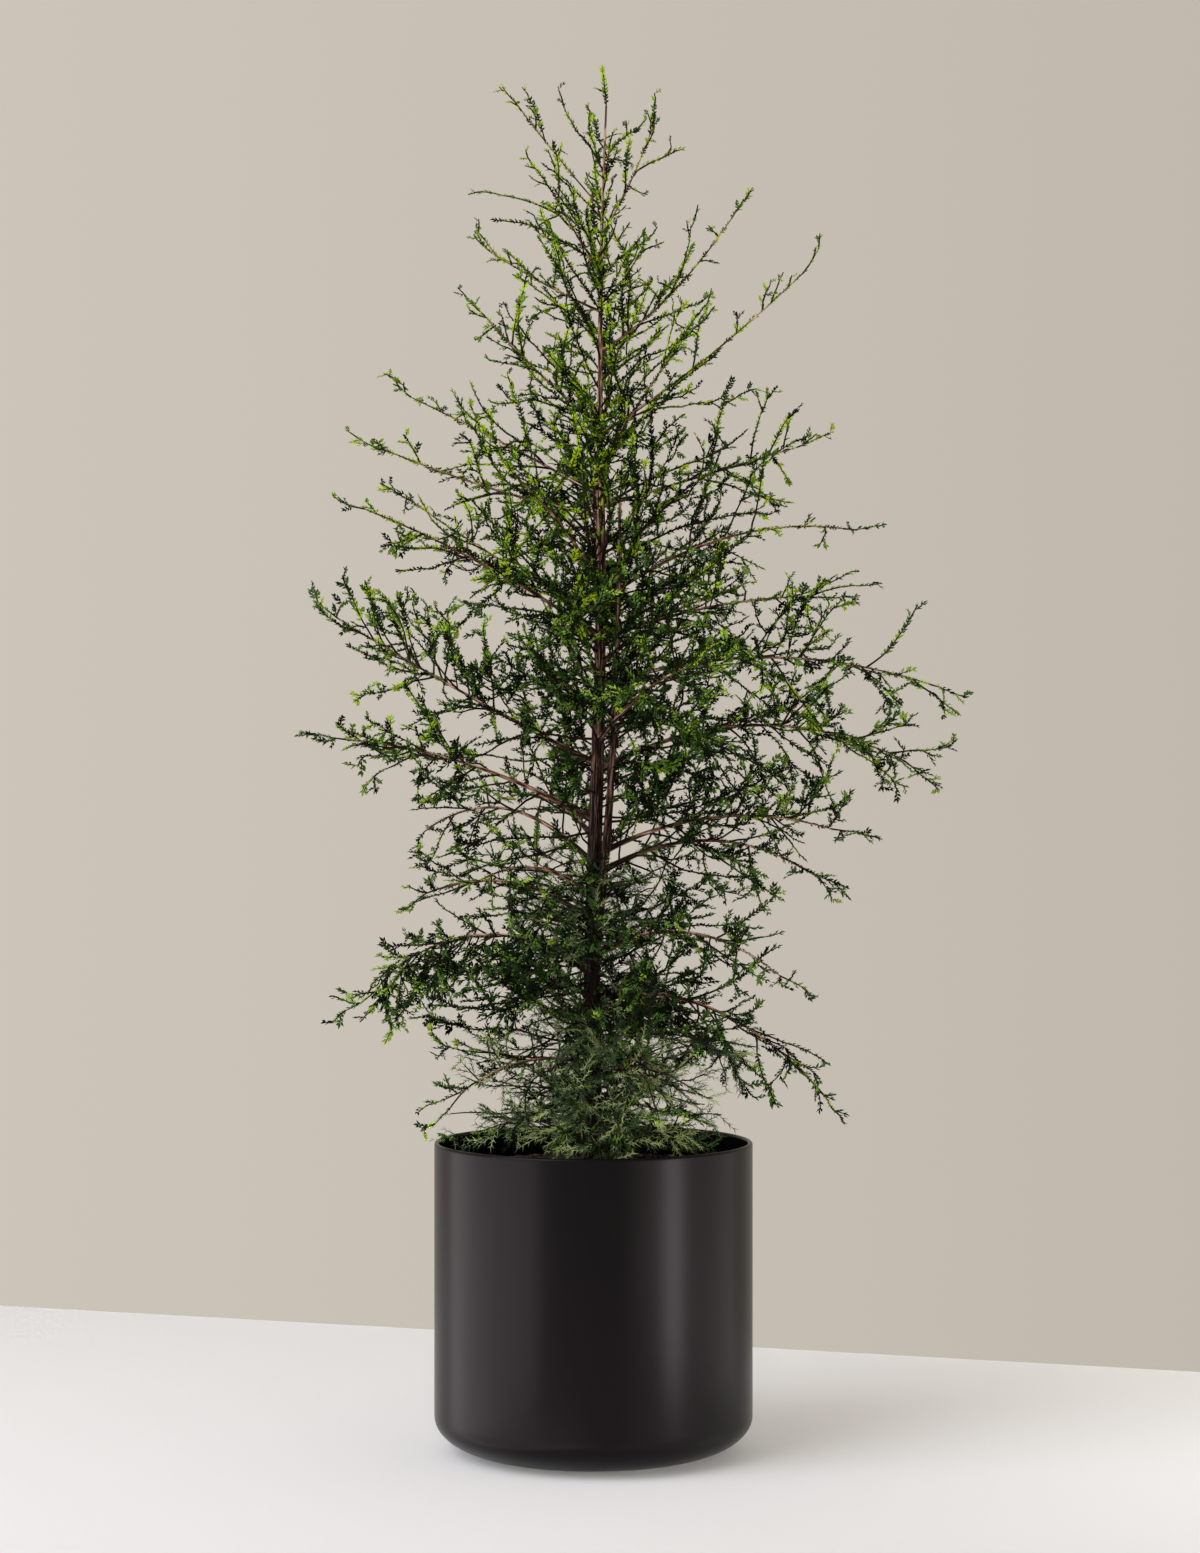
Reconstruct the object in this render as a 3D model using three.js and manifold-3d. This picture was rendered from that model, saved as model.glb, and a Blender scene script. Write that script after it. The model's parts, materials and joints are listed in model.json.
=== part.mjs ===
// A potted eastern red cedar: a slim young tree of open, ascending boughs in a round-footed planter.
// Millimetres, +Z up. The origin is the middle of the planter's flat underside. +X is the right of the
// tree's front view, +Y its back. Bearings are degrees about +Z, from 0 at +X to 90 at +Y.
import * as THREE from "three";
import { mergeVertices } from "three/addons/utils/BufferGeometryUtils.js";
import Module from "manifold-3d";

const wasm = await Module();
wasm.setup();

// The planter and its filling
const POT_RADIUS = 200;
const POT_HEIGHT = 388;
const POT_WALL = 6;
const POT_FLOOR = 12;
const FOOT_WIDTH = 80; // how far the rounded foot draws in
const FOOT_RISE = 45; // how high the rounded foot reaches
const SOIL_EDGE = 348;
const SOIL_CREST = 366;
const SOIL_FLAT = 34; // radius of the level patch round the trunk
const ROUND_SIDES = 40;
const FOOT_STEPS = { outside: 5, inside: 3 };

const SEAT = 0.3; // clearance at every place where one piece is carried by another

// The trunk, from its flat cut on the soil to its tip
const TRUNK_FOOT = SOIL_CREST + SEAT;
const TRUNK_TOP = 1690;
const TRUNK_RADIUS = 12.5;
const TRUNK_TIP_RADIUS = 1.8;
const TRUNK_TAPER = 1.1;
const FLARE = 10; // how far the root flare stands out at the soil
const FLARE_RISE = 24;
const TRUNK_LEAN = 16; // sideways drift of the trunk between its foot and its top
const TRUNK_SWAY = 3;
const TRUNK_SIDES = 8;
const TRUNK_STEPS = 20;
const TREE_TOP = [-20, -4, 1732]; // where the nodding leader ends

// Limbs
const LIMB_TIP_RADIUS = 1.5;
const LIMB_BASE_RADIUS = 1.7;
const LIMB_RADIUS_PER_LENGTH = 0.0075;
const COLLAR = 1.6; // how much thicker a bough is where it leaves the trunk
const BOUGH_SIDES = 5;
const BOUGH_STEPS = 3;
const STEM_SIDES = 3;
const STEM_STEPS = 4;
const STEM_THICKER = 1.15; // makes a three-sided stem look as thick as the round bough it grows on from

// Sprigs: each is a twig that parts into fingers of scale leaves at its heart
const FIRST_SEED = 40; // each limb takes the next one
const SPRIG_SPACING = 29;
const SPRIG_ANGLE = 56; // degrees between a sprig and the stem it leaves
const SPRIG_SHORTEST = 50;
const LAST_SPRIG = 54; // length of the one that ends each stem
const LAST_SPRIG_SUNK = 3;
const TURN = 137.5; // degrees round the stem from one sprig to the next
const FLATTEN = 0.62; // share of the rise and fall that is kept, so that a limb's sprigs lie in a loose fan
const STALK = 0.24; // share of the sprig's length from its root to its heart
const ROOT_SHARE = 0.4; // of its stem's radius, so that a sprig's root lies wholly inside the stem
const HEART_THICKNESS = 4;
const FINGERS = [
  { turn: 0, reach: 0.76 },
  { turn: 17, reach: 0.66 },
  { turn: 36, reach: 0.52 },
  { turn: 58, reach: 0.36 },
]; // the middle finger and those to each side of it: degrees, and share of the sprig's length
const NOTCH = 0.2; // how far the gaps between the fingers lie from the heart
const FINGER_RISE = 0.13; // how far a finger's tip stands above or below the fan, as a share of its reach
const HEEL = { turn: 120, reach: 0.035 }; // where the outermost fingers meet the stalk
const LENGTH_PER_PAIR = 34; // a sprig has one more pair of fingers for each such length
const SIZES_TRIED = [1, 0.8, 0.62]; // a sprig without room is tried shorter, then left out
const CLEARANCE = 0.6;

// Limbs that the front view shows. leaves: height on the trunk. reach and climb: to the tip, across
// and up. arch: how far the middle bows up. bare: share that carries no foliage, a bough of its own.
// sprig: length of its longest sprigs.
const FRONT_VIEW_LIMBS = [
  { name: "left_01", leaves: 484, bearing: 215, reach: 248, climb: -58, arch: 34, bare: 0, sprig: 136 },
  { name: "left_02", leaves: 600, bearing: 150, reach: 342, climb: -34, arch: 60, bare: 0, sprig: 148 },
  { name: "left_03", leaves: 664, bearing: 222, reach: 314, climb: 25, arch: 42, bare: 0, sprig: 148 },
  { name: "left_04", leaves: 735, bearing: 140, reach: 334, climb: 11, arch: 66, bare: 0.34, sprig: 153 },
  { name: "left_05", leaves: 790, bearing: 194, reach: 364, climb: 104, arch: 26, bare: 0.36, sprig: 159 },
  { name: "left_06", leaves: 862, bearing: 170, reach: 375, climb: 213, arch: -6, bare: 0.4, sprig: 159 },
  { name: "left_07", leaves: 1023, bearing: 212, reach: 376, climb: 161, arch: 14, bare: 0.3, sprig: 159 },
  { name: "left_08", leaves: 1048, bearing: 144, reach: 344, climb: 189, arch: -8, bare: 0, sprig: 153 },
  { name: "left_09", leaves: 1174, bearing: 194, reach: 313, climb: 96, arch: -10, bare: 0.32, sprig: 168 },
  { name: "left_10", leaves: 1199, bearing: 152, reach: 317, climb: 161, arch: 4, bare: 0, sprig: 159 },
  { name: "left_11", leaves: 1287, bearing: 218, reach: 213, climb: 163, arch: -10, bare: 0, sprig: 148 },
  { name: "left_12", leaves: 1432, bearing: 166, reach: 179, climb: 110, arch: -6, bare: 0, sprig: 148 },
  { name: "left_13", leaves: 1560, bearing: 190, reach: 126, climb: 165, arch: -4, bare: 0, sprig: 153 },
  { name: "right_01", leaves: 482, bearing: 340, reach: 143, climb: -44, arch: 26, bare: 0, sprig: 114 },
  { name: "right_02", leaves: 565, bearing: 20, reach: 354, climb: -171, arch: 64, bare: 0.3, sprig: 168 },
  { name: "right_03", leaves: 618, bearing: 322, reach: 338, climb: -51, arch: 60, bare: 0.34, sprig: 148 },
  { name: "right_04", leaves: 721, bearing: 36, reach: 407, climb: -32, arch: 58, bare: 0, sprig: 159 },
  { name: "right_05", leaves: 746, bearing: 350, reach: 353, climb: 15, arch: 44, bare: 0.34, sprig: 159 },
  { name: "right_06", leaves: 853, bearing: 10, reach: 456, climb: -15, arch: 66, bare: 0.36, sprig: 168 },
  { name: "right_07", leaves: 960, bearing: 350, reach: 474, climb: -19, arch: 44, bare: 0.36, sprig: 168 },
  { name: "right_08", leaves: 1018, bearing: 36, reach: 424, climb: 65, arch: 20, bare: 0, sprig: 159 },
  { name: "right_09", leaves: 1066, bearing: 336, reach: 386, climb: 71, arch: 44, bare: 0.34, sprig: 168 },
  { name: "right_10", leaves: 1186, bearing: 22, reach: 334, climb: 101, arch: 0, bare: 0.34, sprig: 159 },
  { name: "right_11", leaves: 1277, bearing: 348, reach: 308, climb: 234, arch: -14, bare: 0.34, sprig: 159 },
  { name: "right_12", leaves: 1382, bearing: 34, reach: 253, climb: 237, arch: -26, bare: 0, sprig: 148 },
  { name: "right_13", leaves: 1530, bearing: 350, reach: 94, climb: 185, arch: -18, bare: 0, sprig: 148 },
];

// Limbs towards the front and the back, which fill the crown so that it is as deep as it is wide
const DEPTH_LIMBS = [
  { leaves: 458, bearing: 298 },
  { leaves: 540, bearing: 72 },
  { leaves: 694, bearing: 242 },
  { leaves: 768, bearing: 112 },
  { leaves: 890, bearing: 292 },
  { leaves: 986, bearing: 54 },
  { leaves: 1090, bearing: 248 },
  { leaves: 1148, bearing: 96 },
  { leaves: 1238, bearing: 298 },
  { leaves: 1335, bearing: 72 },
  { leaves: 1482, bearing: 242 },
];
const CROWN_WIDEST = 400; // reach of a limb at the height where the crown is widest
const CROWN_WIDEST_AT = 850;
const CROWN_FOOT = { at: 450, reach: 240 };
const CROWN_HEAD = { at: 1482, reach: 150 };

const radians = THREE.MathUtils.degToRad;

// mulberry32: the same run of numbers for the same seed, each from 0 to 1
function seededRandom(seed) {
  let state = seed >>> 0;
  return () => {
    state = (state + 0x6d2b79f5) >>> 0;
    let mixed = Math.imul(state ^ (state >>> 15), state | 1);
    mixed ^= mixed + Math.imul(mixed ^ (mixed >>> 7), mixed | 61);
    return ((mixed ^ (mixed >>> 14)) >>> 0) / 4294967296;
  };
}

function material(colour, roughness) {
  return new THREE.MeshStandardMaterial({ color: colour, roughness, metalness: 0 });
}

const MATERIALS = {
  planter: material("#2b292b", 0.5),
  soil: material("#2c2019", 1),
  bark: material("#5d3a2b", 0.9),
  foliage: material("#3f6330", 0.65),
};

// Solids from geometries and back, for joins and cuts

function solidOf(geometry) {
  const bare = geometry.clone();
  bare.deleteAttribute("normal");
  bare.deleteAttribute("uv");
  const merged = mergeVertices(bare, 1e-4);
  return new wasm.Manifold(
    new wasm.Mesh({
      numProp: 3,
      vertProperties: new Float32Array(merged.attributes.position.array),
      triVerts: new Uint32Array(merged.index.array),
    }),
  );
}

function geometryOf(solid) {
  const { vertProperties, triVerts } = solid.getMesh();
  const geometry = new THREE.BufferGeometry();
  geometry.setAttribute("position", new THREE.BufferAttribute(vertProperties, 3));
  geometry.setIndex(new THREE.BufferAttribute(triVerts, 1));
  geometry.computeVertexNormals();
  return geometry;
}

function namedMesh(name, geometry, meshMaterial) {
  const mesh = new THREE.Mesh(geometry, meshMaterial);
  mesh.name = name;
  return mesh;
}

// The planter: a turned shell with a rounded foot, a flat underside and a softened lip

function footCurve(inset, points) {
  return Array.from({ length: points + 1 }, (_, i) => {
    const turn = (Math.PI / 2) * (i / points);
    const across = (FOOT_WIDTH - inset) * (1 - Math.sin(turn));
    const up = (FOOT_RISE - inset) * (1 - Math.cos(turn));
    return new THREE.Vector2(POT_RADIUS - inset - across, inset + up);
  });
}

// The foot's inner face, on a floor that is thicker than the wall
function innerFoot(inset) {
  return footCurve(inset, FOOT_STEPS.inside).map((p) => new THREE.Vector2(p.x, p.y + POT_FLOOR - POT_WALL));
}

// A profile starts on the axis at its underside, runs out and up, and comes back to the axis on top
function turned(profile) {
  const lathe = new THREE.LatheGeometry(profile, ROUND_SIDES);
  return lathe.rotateX(Math.PI / 2); // the lathe turns about Y, and the part stands along Z
}

function potProfile() {
  const lip = POT_WALL / 2;
  const outside = footCurve(0, FOOT_STEPS.outside);
  const inside = innerFoot(POT_WALL);
  const rim = [
    new THREE.Vector2(POT_RADIUS, POT_HEIGHT - lip / 2),
    new THREE.Vector2(POT_RADIUS - lip / 2, POT_HEIGHT),
    new THREE.Vector2(POT_RADIUS - POT_WALL + lip / 2, POT_HEIGHT),
    new THREE.Vector2(POT_RADIUS - POT_WALL, POT_HEIGHT - lip / 2),
  ];
  return [
    new THREE.Vector2(0, 0),
    ...outside,
    ...rim,
    ...inside.reverse(),
    new THREE.Vector2(0, POT_FLOOR),
  ];
}

function soilProfile() {
  const wall = POT_WALL + SEAT;
  const shoulder = (POT_RADIUS - wall + SOIL_FLAT) / 2;
  return [
    new THREE.Vector2(0, POT_FLOOR + SEAT),
    ...innerFoot(wall),
    new THREE.Vector2(POT_RADIUS - wall, SOIL_EDGE),
    new THREE.Vector2(shoulder, (SOIL_EDGE + SOIL_CREST) / 2 + 3),
    new THREE.Vector2(SOIL_FLAT, SOIL_CREST),
    new THREE.Vector2(0, SOIL_CREST),
  ];
}

// The trunk's centre and radius by height

function trunkCentre(z) {
  const share = Math.max(0, (z - TRUNK_FOOT) / (TRUNK_TOP - TRUNK_FOOT));
  const sway = TRUNK_SWAY * Math.sin(3 * Math.PI * share);
  return new THREE.Vector3(TRUNK_LEAN * share ** 1.5 - sway, sway, z);
}

function trunkRadius(z) {
  const share = (z - TRUNK_FOOT) / (TRUNK_TOP - TRUNK_FOOT);
  const taper = (TRUNK_RADIUS - TRUNK_TIP_RADIUS) * Math.max(0, 1 - share) ** TRUNK_TAPER;
  return TRUNK_TIP_RADIUS + taper + FLARE * Math.exp(-(z - TRUNK_FOOT) / FLARE_RISE);
}

// A round limb: a cylinder whose rings are moved along a path. pathAt and radiusAt take 0 to 1 from
// its near end to its far one, and steady is a direction that no part of the path runs along. A ring
// faces along the path, unless level says that all rings stay level.
function limbGeometry(pathAt, radiusAt, steady, sides, steps, level = false) {
  const limb = new THREE.CylinderGeometry(1, 1, 1, sides, steps);
  const position = limb.attributes.position;
  const ring = new THREE.Vector3();
  for (let i = 0; i < position.count; i += 1) {
    ring.fromBufferAttribute(position, i);
    const share = THREE.MathUtils.clamp(0.5 + ring.y, 0, 1);
    const along = level ? new THREE.Vector3(0, 0, 1) : directionAt(pathAt, share);
    const side = new THREE.Vector3().crossVectors(along, steady).normalize();
    const up = new THREE.Vector3().crossVectors(side, along);
    const radius = radiusAt(share);
    const place = pathAt(share).addScaledVector(side, ring.x * radius).addScaledVector(up, ring.z * radius);
    position.setXYZ(i, place.x, place.y, place.z);
  }
  return limb;
}

function directionAt(pathAt, share) {
  const ahead = pathAt(Math.min(1, share + 0.02));
  const behind = pathAt(Math.max(0, share - 0.02));
  return ahead.sub(behind).normalize();
}

function trunkGeometry(grow = 0) {
  const foot = TRUNK_FOOT - grow;
  const rise = TRUNK_TOP - foot;
  // Rings stand closer together near the foot, where the root flare is
  const height = (share) => foot + rise * share ** 1.6;
  return limbGeometry(
    (share) => trunkCentre(height(share)),
    (share) => trunkRadius(Math.max(TRUNK_FOOT, height(share))) + grow,
    new THREE.Vector3(0, 1, 0),
    TRUNK_SIDES,
    TRUNK_STEPS,
    true,
  );
}

// A limb's path: a curve from the trunk's centre line to its tip, bowed up in the middle. A knee says
// where the curve bends instead, as shares of the way across and up.
function limbPath(limb) {
  const turn = radians(limb.bearing);
  const root = trunkCentre(limb.leaves);
  const tip = new THREE.Vector3(
    limb.reach * Math.cos(turn),
    limb.reach * Math.sin(turn),
    limb.leaves + limb.climb,
  );
  const knee = limb.knee ?? { across: 0.5, up: 0.5 };
  const middle = new THREE.Vector3(
    THREE.MathUtils.lerp(root.x, tip.x, knee.across),
    THREE.MathUtils.lerp(root.y, tip.y, knee.across),
    THREE.MathUtils.lerp(root.z, tip.z, knee.up) + 2 * limb.arch,
  );
  const curve = new THREE.QuadraticBezierCurve3(root, middle, tip);
  return (share) => curve.getPoint(share);
}

// The leader's path, from just above the trunk's tip to the nodding top of the tree
function leaderPath() {
  const root = trunkCentre(TRUNK_TOP).setZ(TRUNK_TOP + SEAT);
  const middle = root.clone().setZ(root.z + 30);
  const curve = new THREE.QuadraticBezierCurve3(root, middle, new THREE.Vector3(...TREE_TOP));
  return (share) => curve.getPoint(share);
}

// A depth limb reaches as far as the crown does at its height, drooping low down and rising higher up
function depthLimb({ leaves, bearing }, index) {
  const { lerp, inverseLerp } = THREE.MathUtils;
  const reach = leaves < CROWN_WIDEST_AT
    ? lerp(CROWN_FOOT.reach, CROWN_WIDEST, inverseLerp(CROWN_FOOT.at, CROWN_WIDEST_AT, leaves))
    : lerp(CROWN_WIDEST, CROWN_HEAD.reach, inverseLerp(CROWN_WIDEST_AT, CROWN_HEAD.at, leaves));
  const share = inverseLerp(CROWN_FOOT.at, CROWN_HEAD.at, leaves);
  return {
    name: "depth_" + String(index + 1).padStart(2, "0"),
    leaves,
    bearing,
    reach,
    climb: reach * (share - 0.2),
    arch: 50 - 58 * share,
    bare: index % 3 === 1 ? 0.34 : 0,
    sprig: 158,
  };
}

// The second stem runs up close beside the trunk and ends in foliage of its own
const SECOND_STEM = {
  name: "second_stem",
  leaves: 640,
  bearing: 318,
  reach: 46,
  climb: 630,
  knee: { across: 0.85, up: 0.18 },
  arch: 0,
  bare: 0.62,
  sprig: 110,
  radius: 6.2,
};

// The leader carries the topmost foliage on the trunk's tip
const LEADER = { name: "leader", leaves: TRUNK_TOP, bare: 0, sprig: 56, atTop: true };

function limbRadius(limb, length) {
  const byLength = LIMB_BASE_RADIUS + LIMB_RADIUS_PER_LENGTH * length;
  const base = limb.radius ?? Math.min(byLength, 0.5 * trunkRadius(limb.leaves));
  return (share) => {
    const collar = base * (COLLAR - 1) * Math.exp(-share * 16);
    return THREE.MathUtils.lerp(base, LIMB_TIP_RADIUS, share) + collar;
  };
}

function steadyFor(pathAt) {
  const chord = pathAt(1).sub(pathAt(0)).normalize();
  return Math.abs(chord.z) > 0.85 ? new THREE.Vector3(0, 1, 0) : new THREE.Vector3(0, 0, 1);
}

// A part of a path, from one share of it to another, as a path of its own
function stretch(pathAt, from, to) {
  return (share) => pathAt(THREE.MathUtils.lerp(from, to, share));
}

// The same path in straight stretches, as a limb of that many steps has them
function inStretches(pathAt, steps) {
  return (share) => {
    const step = Math.min(steps - 1, Math.floor(share * steps));
    return pathAt(step / steps).lerp(pathAt((step + 1) / steps), share * steps - step);
  };
}

// Room: wood and fingers are kept as rods, so that no sprig meets another or a limb other than its own

const rods = [];

function addRod(limbName, from, to, radius) {
  rods.push({ limbName, line: [from, to], radius });
}

// Least distance between two straight stretches
function gapBetween([p, q], [r, s]) {
  const u = q.clone().sub(p);
  const v = s.clone().sub(r);
  const w = p.clone().sub(r);
  const uu = u.dot(u);
  const uv = u.dot(v);
  const vv = v.dot(v);
  const uw = u.dot(w);
  const vw = v.dot(w);
  const spread = uu * vv - uv * uv;
  let a = spread > 1e-9 ? THREE.MathUtils.clamp((uv * vw - vv * uw) / spread, 0, 1) : 0;
  const b = THREE.MathUtils.clamp((uv * a + vw) / Math.max(vv, 1e-9), 0, 1);
  a = THREE.MathUtils.clamp((uv * b - uw) / Math.max(uu, 1e-9), 0, 1);
  return p.clone().addScaledVector(u, a).distanceTo(r.clone().addScaledVector(v, b));
}

// Sprigs may hang into the planter's mouth, but not onto the soil or the rim
function isAbovePlanter(point) {
  const acrossMouth = Math.hypot(point.x, point.y) < POT_RADIUS - 30;
  const beside = Math.hypot(point.x, point.y) > POT_RADIUS + 30;
  return beside || point.z > (acrossMouth ? SOIL_CREST : POT_HEIGHT) + 6;
}

// Whether a stretch of sprig is clear of all rods but those of the limb that carries it
function isClear(limbName, line, radius) {
  return rods.every(
    (rod) => rod.limbName === limbName || gapBetween(line, rod.line) > radius + rod.radius + CLEARANCE,
  );
}

// Each mass keeps to the space that is nearer to its own stem than to any other
const stems = [];

function isOwnSpace(owner, point) {
  let nearest = null;
  let least = Infinity;
  for (const stem of stems) {
    for (const place of stem.places) {
      const distance = place.distanceTo(point);
      if (distance < least) {
        least = distance;
        nearest = stem.owner;
      }
    }
  }
  return nearest === owner;
}

// The rim of a sprig's fan, as turn and reach from its heart: the left heel, the fingers with the
// notches between them, and the right heel
function fanRim(pairs, fingerLengths) {
  const rim = [{ turn: -HEEL.turn, reach: HEEL.reach }];
  for (let place = -pairs; place <= pairs; place += 1) {
    const finger = FINGERS[Math.abs(place)];
    if (place > -pairs) {
      const before = FINGERS[Math.abs(place - 1)];
      const sum = finger.turn * Math.sign(place) + before.turn * Math.sign(place - 1);
      rim.push({ turn: sum / 2, reach: NOTCH });
    }
    const reach = finger.reach * fingerLengths[place + FINGERS.length - 1];
    const rise = place % 2 === 0 ? FINGER_RISE : -FINGER_RISE;
    rim.push({ turn: finger.turn * Math.sign(place), reach, rise });
  }
  rim.push(HEEL);
  return rim;
}

// A closed sprig along +X from the origin, its fan near the XY plane: a four-sided stalk whose far
// end opens into the fan, thick at the heart and thin at the rim
function sprigGeometry({ length, rootRadius, fingerLengths }) {
  const heart = STALK * length;
  const pairs = THREE.MathUtils.clamp(Math.floor(length / LENGTH_PER_PAIR), 1, FINGERS.length - 1);
  const rim = fanRim(pairs, fingerLengths).map(({ turn, reach, rise = 0 }) => {
    const along = STALK + reach * Math.cos(radians(turn));
    return new THREE.Vector3(along, reach * Math.sin(radians(turn)), reach * rise).multiplyScalar(length);
  });
  const points = [
    new THREE.Vector3(0, -rootRadius, 0),
    new THREE.Vector3(0, 0, rootRadius),
    new THREE.Vector3(0, rootRadius, 0),
    new THREE.Vector3(0, 0, -rootRadius),
    new THREE.Vector3(heart, 0, HEART_THICKNESS / 2),
    new THREE.Vector3(heart, 0, -HEART_THICKNESS / 2),
    ...rim,
  ];
  const [top, bottom, firstRim] = [4, 5, 6];
  const lastRim = points.length - 1;
  const stalkEnd = [firstRim, top, lastRim, bottom];
  const faces = [0, 1, 2, 0, 2, 3];
  for (let side = 0; side < 4; side += 1) {
    const next = (side + 1) % 4;
    faces.push(side, stalkEnd[side], stalkEnd[next], side, stalkEnd[next], next);
  }
  for (let place = firstRim; place < lastRim; place += 1) {
    faces.push(place, place + 1, top, place + 1, place, bottom);
  }
  const sprig = new THREE.BufferGeometry().setFromPoints(points);
  sprig.setIndex(faces);
  return { sprig, heart: points[top].clone().setZ(0), tips: rim.filter((_, i) => i % 2 === 1) };
}

// Direction of a sprig: at an angle to its stem, turned round it, drawn towards the level, then lifted
function sprigDirection(along, turn, angle, lift) {
  const side = new THREE.Vector3(-along.y, along.x, 0);
  if (side.length() < 0.3) side.set(1, 0, 0).addScaledVector(along, -along.x);
  side.normalize();
  const up = new THREE.Vector3().crossVectors(along, side);
  const away = side.multiplyScalar(Math.cos(turn)).addScaledVector(up, FLATTEN * Math.sin(turn)).normalize();
  const direction = along.clone().multiplyScalar(Math.cos(angle)).addScaledVector(away, Math.sin(angle));
  direction.z += lift;
  return direction.normalize();
}

// Where a sprig stands: +X along it, +Y across its fan, turned about itself by its roll
function sprigPlace({ root, along, roll }) {
  const steady = Math.abs(along.z) > 0.85 ? new THREE.Vector3(0, 1, 0) : new THREE.Vector3(0, 0, 1);
  const across = new THREE.Vector3().crossVectors(steady, along).normalize();
  const up = new THREE.Vector3().crossVectors(along, across);
  across.applyAxisAngle(along, roll);
  up.applyAxisAngle(along, roll);
  return new THREE.Matrix4().makeBasis(along, across, up).setPosition(root);
}

// The sprigs that the rule gives a stem, before any is left out for want of room
function sprigPlans(limb, stemAt, stemLength) {
  const random = seededRandom(limb.seed);
  const fingerLengths = () => Array.from({ length: 2 * FINGERS.length - 1 }, () => 0.7 + 0.4 * random());
  // The first sprig leaves its stem outside the trunk
  const first = (limb.bare > 0 || limb.atTop ? 6 : trunkRadius(limb.leaves) + 12) / stemLength;
  const count = Math.max(3, Math.round((stemLength * (1 - first)) / SPRIG_SPACING));
  const lift = THREE.MathUtils.clamp((stemAt(1).z - 700) / 2200, -0.1, 0.3);
  const firstTurn = random() * 2 * Math.PI;
  const end = directionAt(stemAt, 1);
  const last = {
    root: stemAt(1).addScaledVector(end, -LAST_SPRIG_SUNK),
    along: end,
    length: LAST_SPRIG,
    rootRadius: ROOT_SHARE * limb.stemRadius(1),
    roll: 0,
    fingerLengths: fingerLengths(),
  };
  const others = Array.from({ length: count }, (_, i) => {
    const share = first + ((0.97 - first) * (i + 0.3 + 0.4 * random())) / count;
    const angle = radians(SPRIG_ANGLE * (1 - 0.35 * share) + 14 * (random() - 0.5));
    const turn = firstTurn + radians(TURN) * i;
    return {
      root: stemAt(share),
      along: sprigDirection(directionAt(stemAt, share), turn, angle, lift),
      length: Math.max(SPRIG_SHORTEST, limb.sprig * (1 - 0.5 * share) * (0.8 + 0.4 * random())),
      rootRadius: ROOT_SHARE * limb.stemRadius(share),
      roll: 1.6 * (random() - 0.5),
      fingerLengths: fingerLengths(),
    };
  });
  return [last, ...others];
}

// Puts a sprig in its place if it has room there
function placedSprig(owner, plan) {
  const { sprig, heart, tips } = sprigGeometry(plan);
  const place = sprigPlace(plan);
  heart.applyMatrix4(place);
  tips.forEach((tip) => tip.applyMatrix4(place));
  const start = plan.root.clone().lerp(heart, 0.4);
  const wood = [[start, heart], ...tips.map((tip) => [heart, tip])];
  const radius = 1 + 0.03 * plan.length;
  const hasRoom =
    [heart, ...tips].every((point) => isOwnSpace(owner, point) && isAbovePlanter(point)) &&
    wood.every((line) => isClear(owner, line, radius));
  if (!hasRoom) return null;
  wood.forEach(([from, to]) => addRod("sprig", from, to, radius));
  return sprig.applyMatrix4(place);
}

// One mass of foliage: a stem and the sprigs that find room on it, joined
function massSolid(limb) {
  const stem = inStretches(limb.stemAt, STEM_STEPS);
  const parts = [limbGeometry(stem, limb.stemRadius, steadyFor(stem), STEM_SIDES, STEM_STEPS)];
  for (const plan of sprigPlans(limb, stem, stem(0).distanceTo(stem(1)))) {
    const sizes = SIZES_TRIED.map((size) => ({ ...plan, length: size * plan.length }));
    const grown = sizes.reduce((found, smaller) => found ?? placedSprig(limb.name, smaller), null);
    if (grown) parts.push(grown);
  }
  return parts.map(solidOf).reduce((joined, part) => joined.add(part));
}

// Building the tree

function withStem(limb, index) {
  const pathAt = limb.atTop ? leaderPath() : limbPath(limb);
  const length = pathAt(0).distanceTo(pathAt(1));
  const radiusAt = limbRadius(limb, length);
  const from = limb.bare > 0 ? limb.bare + SEAT / length : 0;
  const to = 1 - (LAST_SPRIG - LAST_SPRIG_SUNK) / length;
  return {
    ...limb,
    pathAt,
    radiusAt,
    stemAt: stretch(pathAt, from, to),
    stemRadius: (share) => STEM_THICKER * radiusAt(THREE.MathUtils.lerp(from, to, share)),
    seed: FIRST_SEED + index,
  };
}

function claimRoom(limb) {
  const steps = 12;
  const shares = Array.from({ length: steps + 1 }, (_, i) => i / steps);
  stems.push({ owner: limb.name, places: shares.map((share) => limb.stemAt(share)) });
  const whole = shares.map((share) => limb.pathAt(THREE.MathUtils.lerp(0.05, 1, share)));
  for (let i = 0; i < steps; i += 1) {
    addRod(limb.name, whole[i], whole[i + 1], 1 + limb.radiusAt(i / steps));
  }
}

function claimTrunkRoom() {
  const steps = 16;
  const rise = (TRUNK_TOP - TRUNK_FOOT) / steps;
  const heights = Array.from({ length: steps + 1 }, (_, i) => TRUNK_FOOT + rise * i);
  for (let i = 0; i < steps; i += 1) {
    addRod("trunk", trunkCentre(heights[i]), trunkCentre(heights[i + 1]), trunkRadius(heights[i]));
  }
}

function boughSolid(limb) {
  const bough = limbGeometry(
    stretch(limb.pathAt, 0, limb.bare),
    (share) => limb.radiusAt(share * limb.bare),
    steadyFor(limb.pathAt),
    BOUGH_SIDES,
    BOUGH_STEPS,
  );
  return solidOf(bough).subtract(grownTrunk);
}

const limbs = [...FRONT_VIEW_LIMBS, ...DEPTH_LIMBS.map(depthLimb), SECOND_STEM, LEADER].map(withStem);
const grownTrunk = solidOf(trunkGeometry(SEAT));
claimTrunkRoom();
limbs.forEach(claimRoom);

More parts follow.
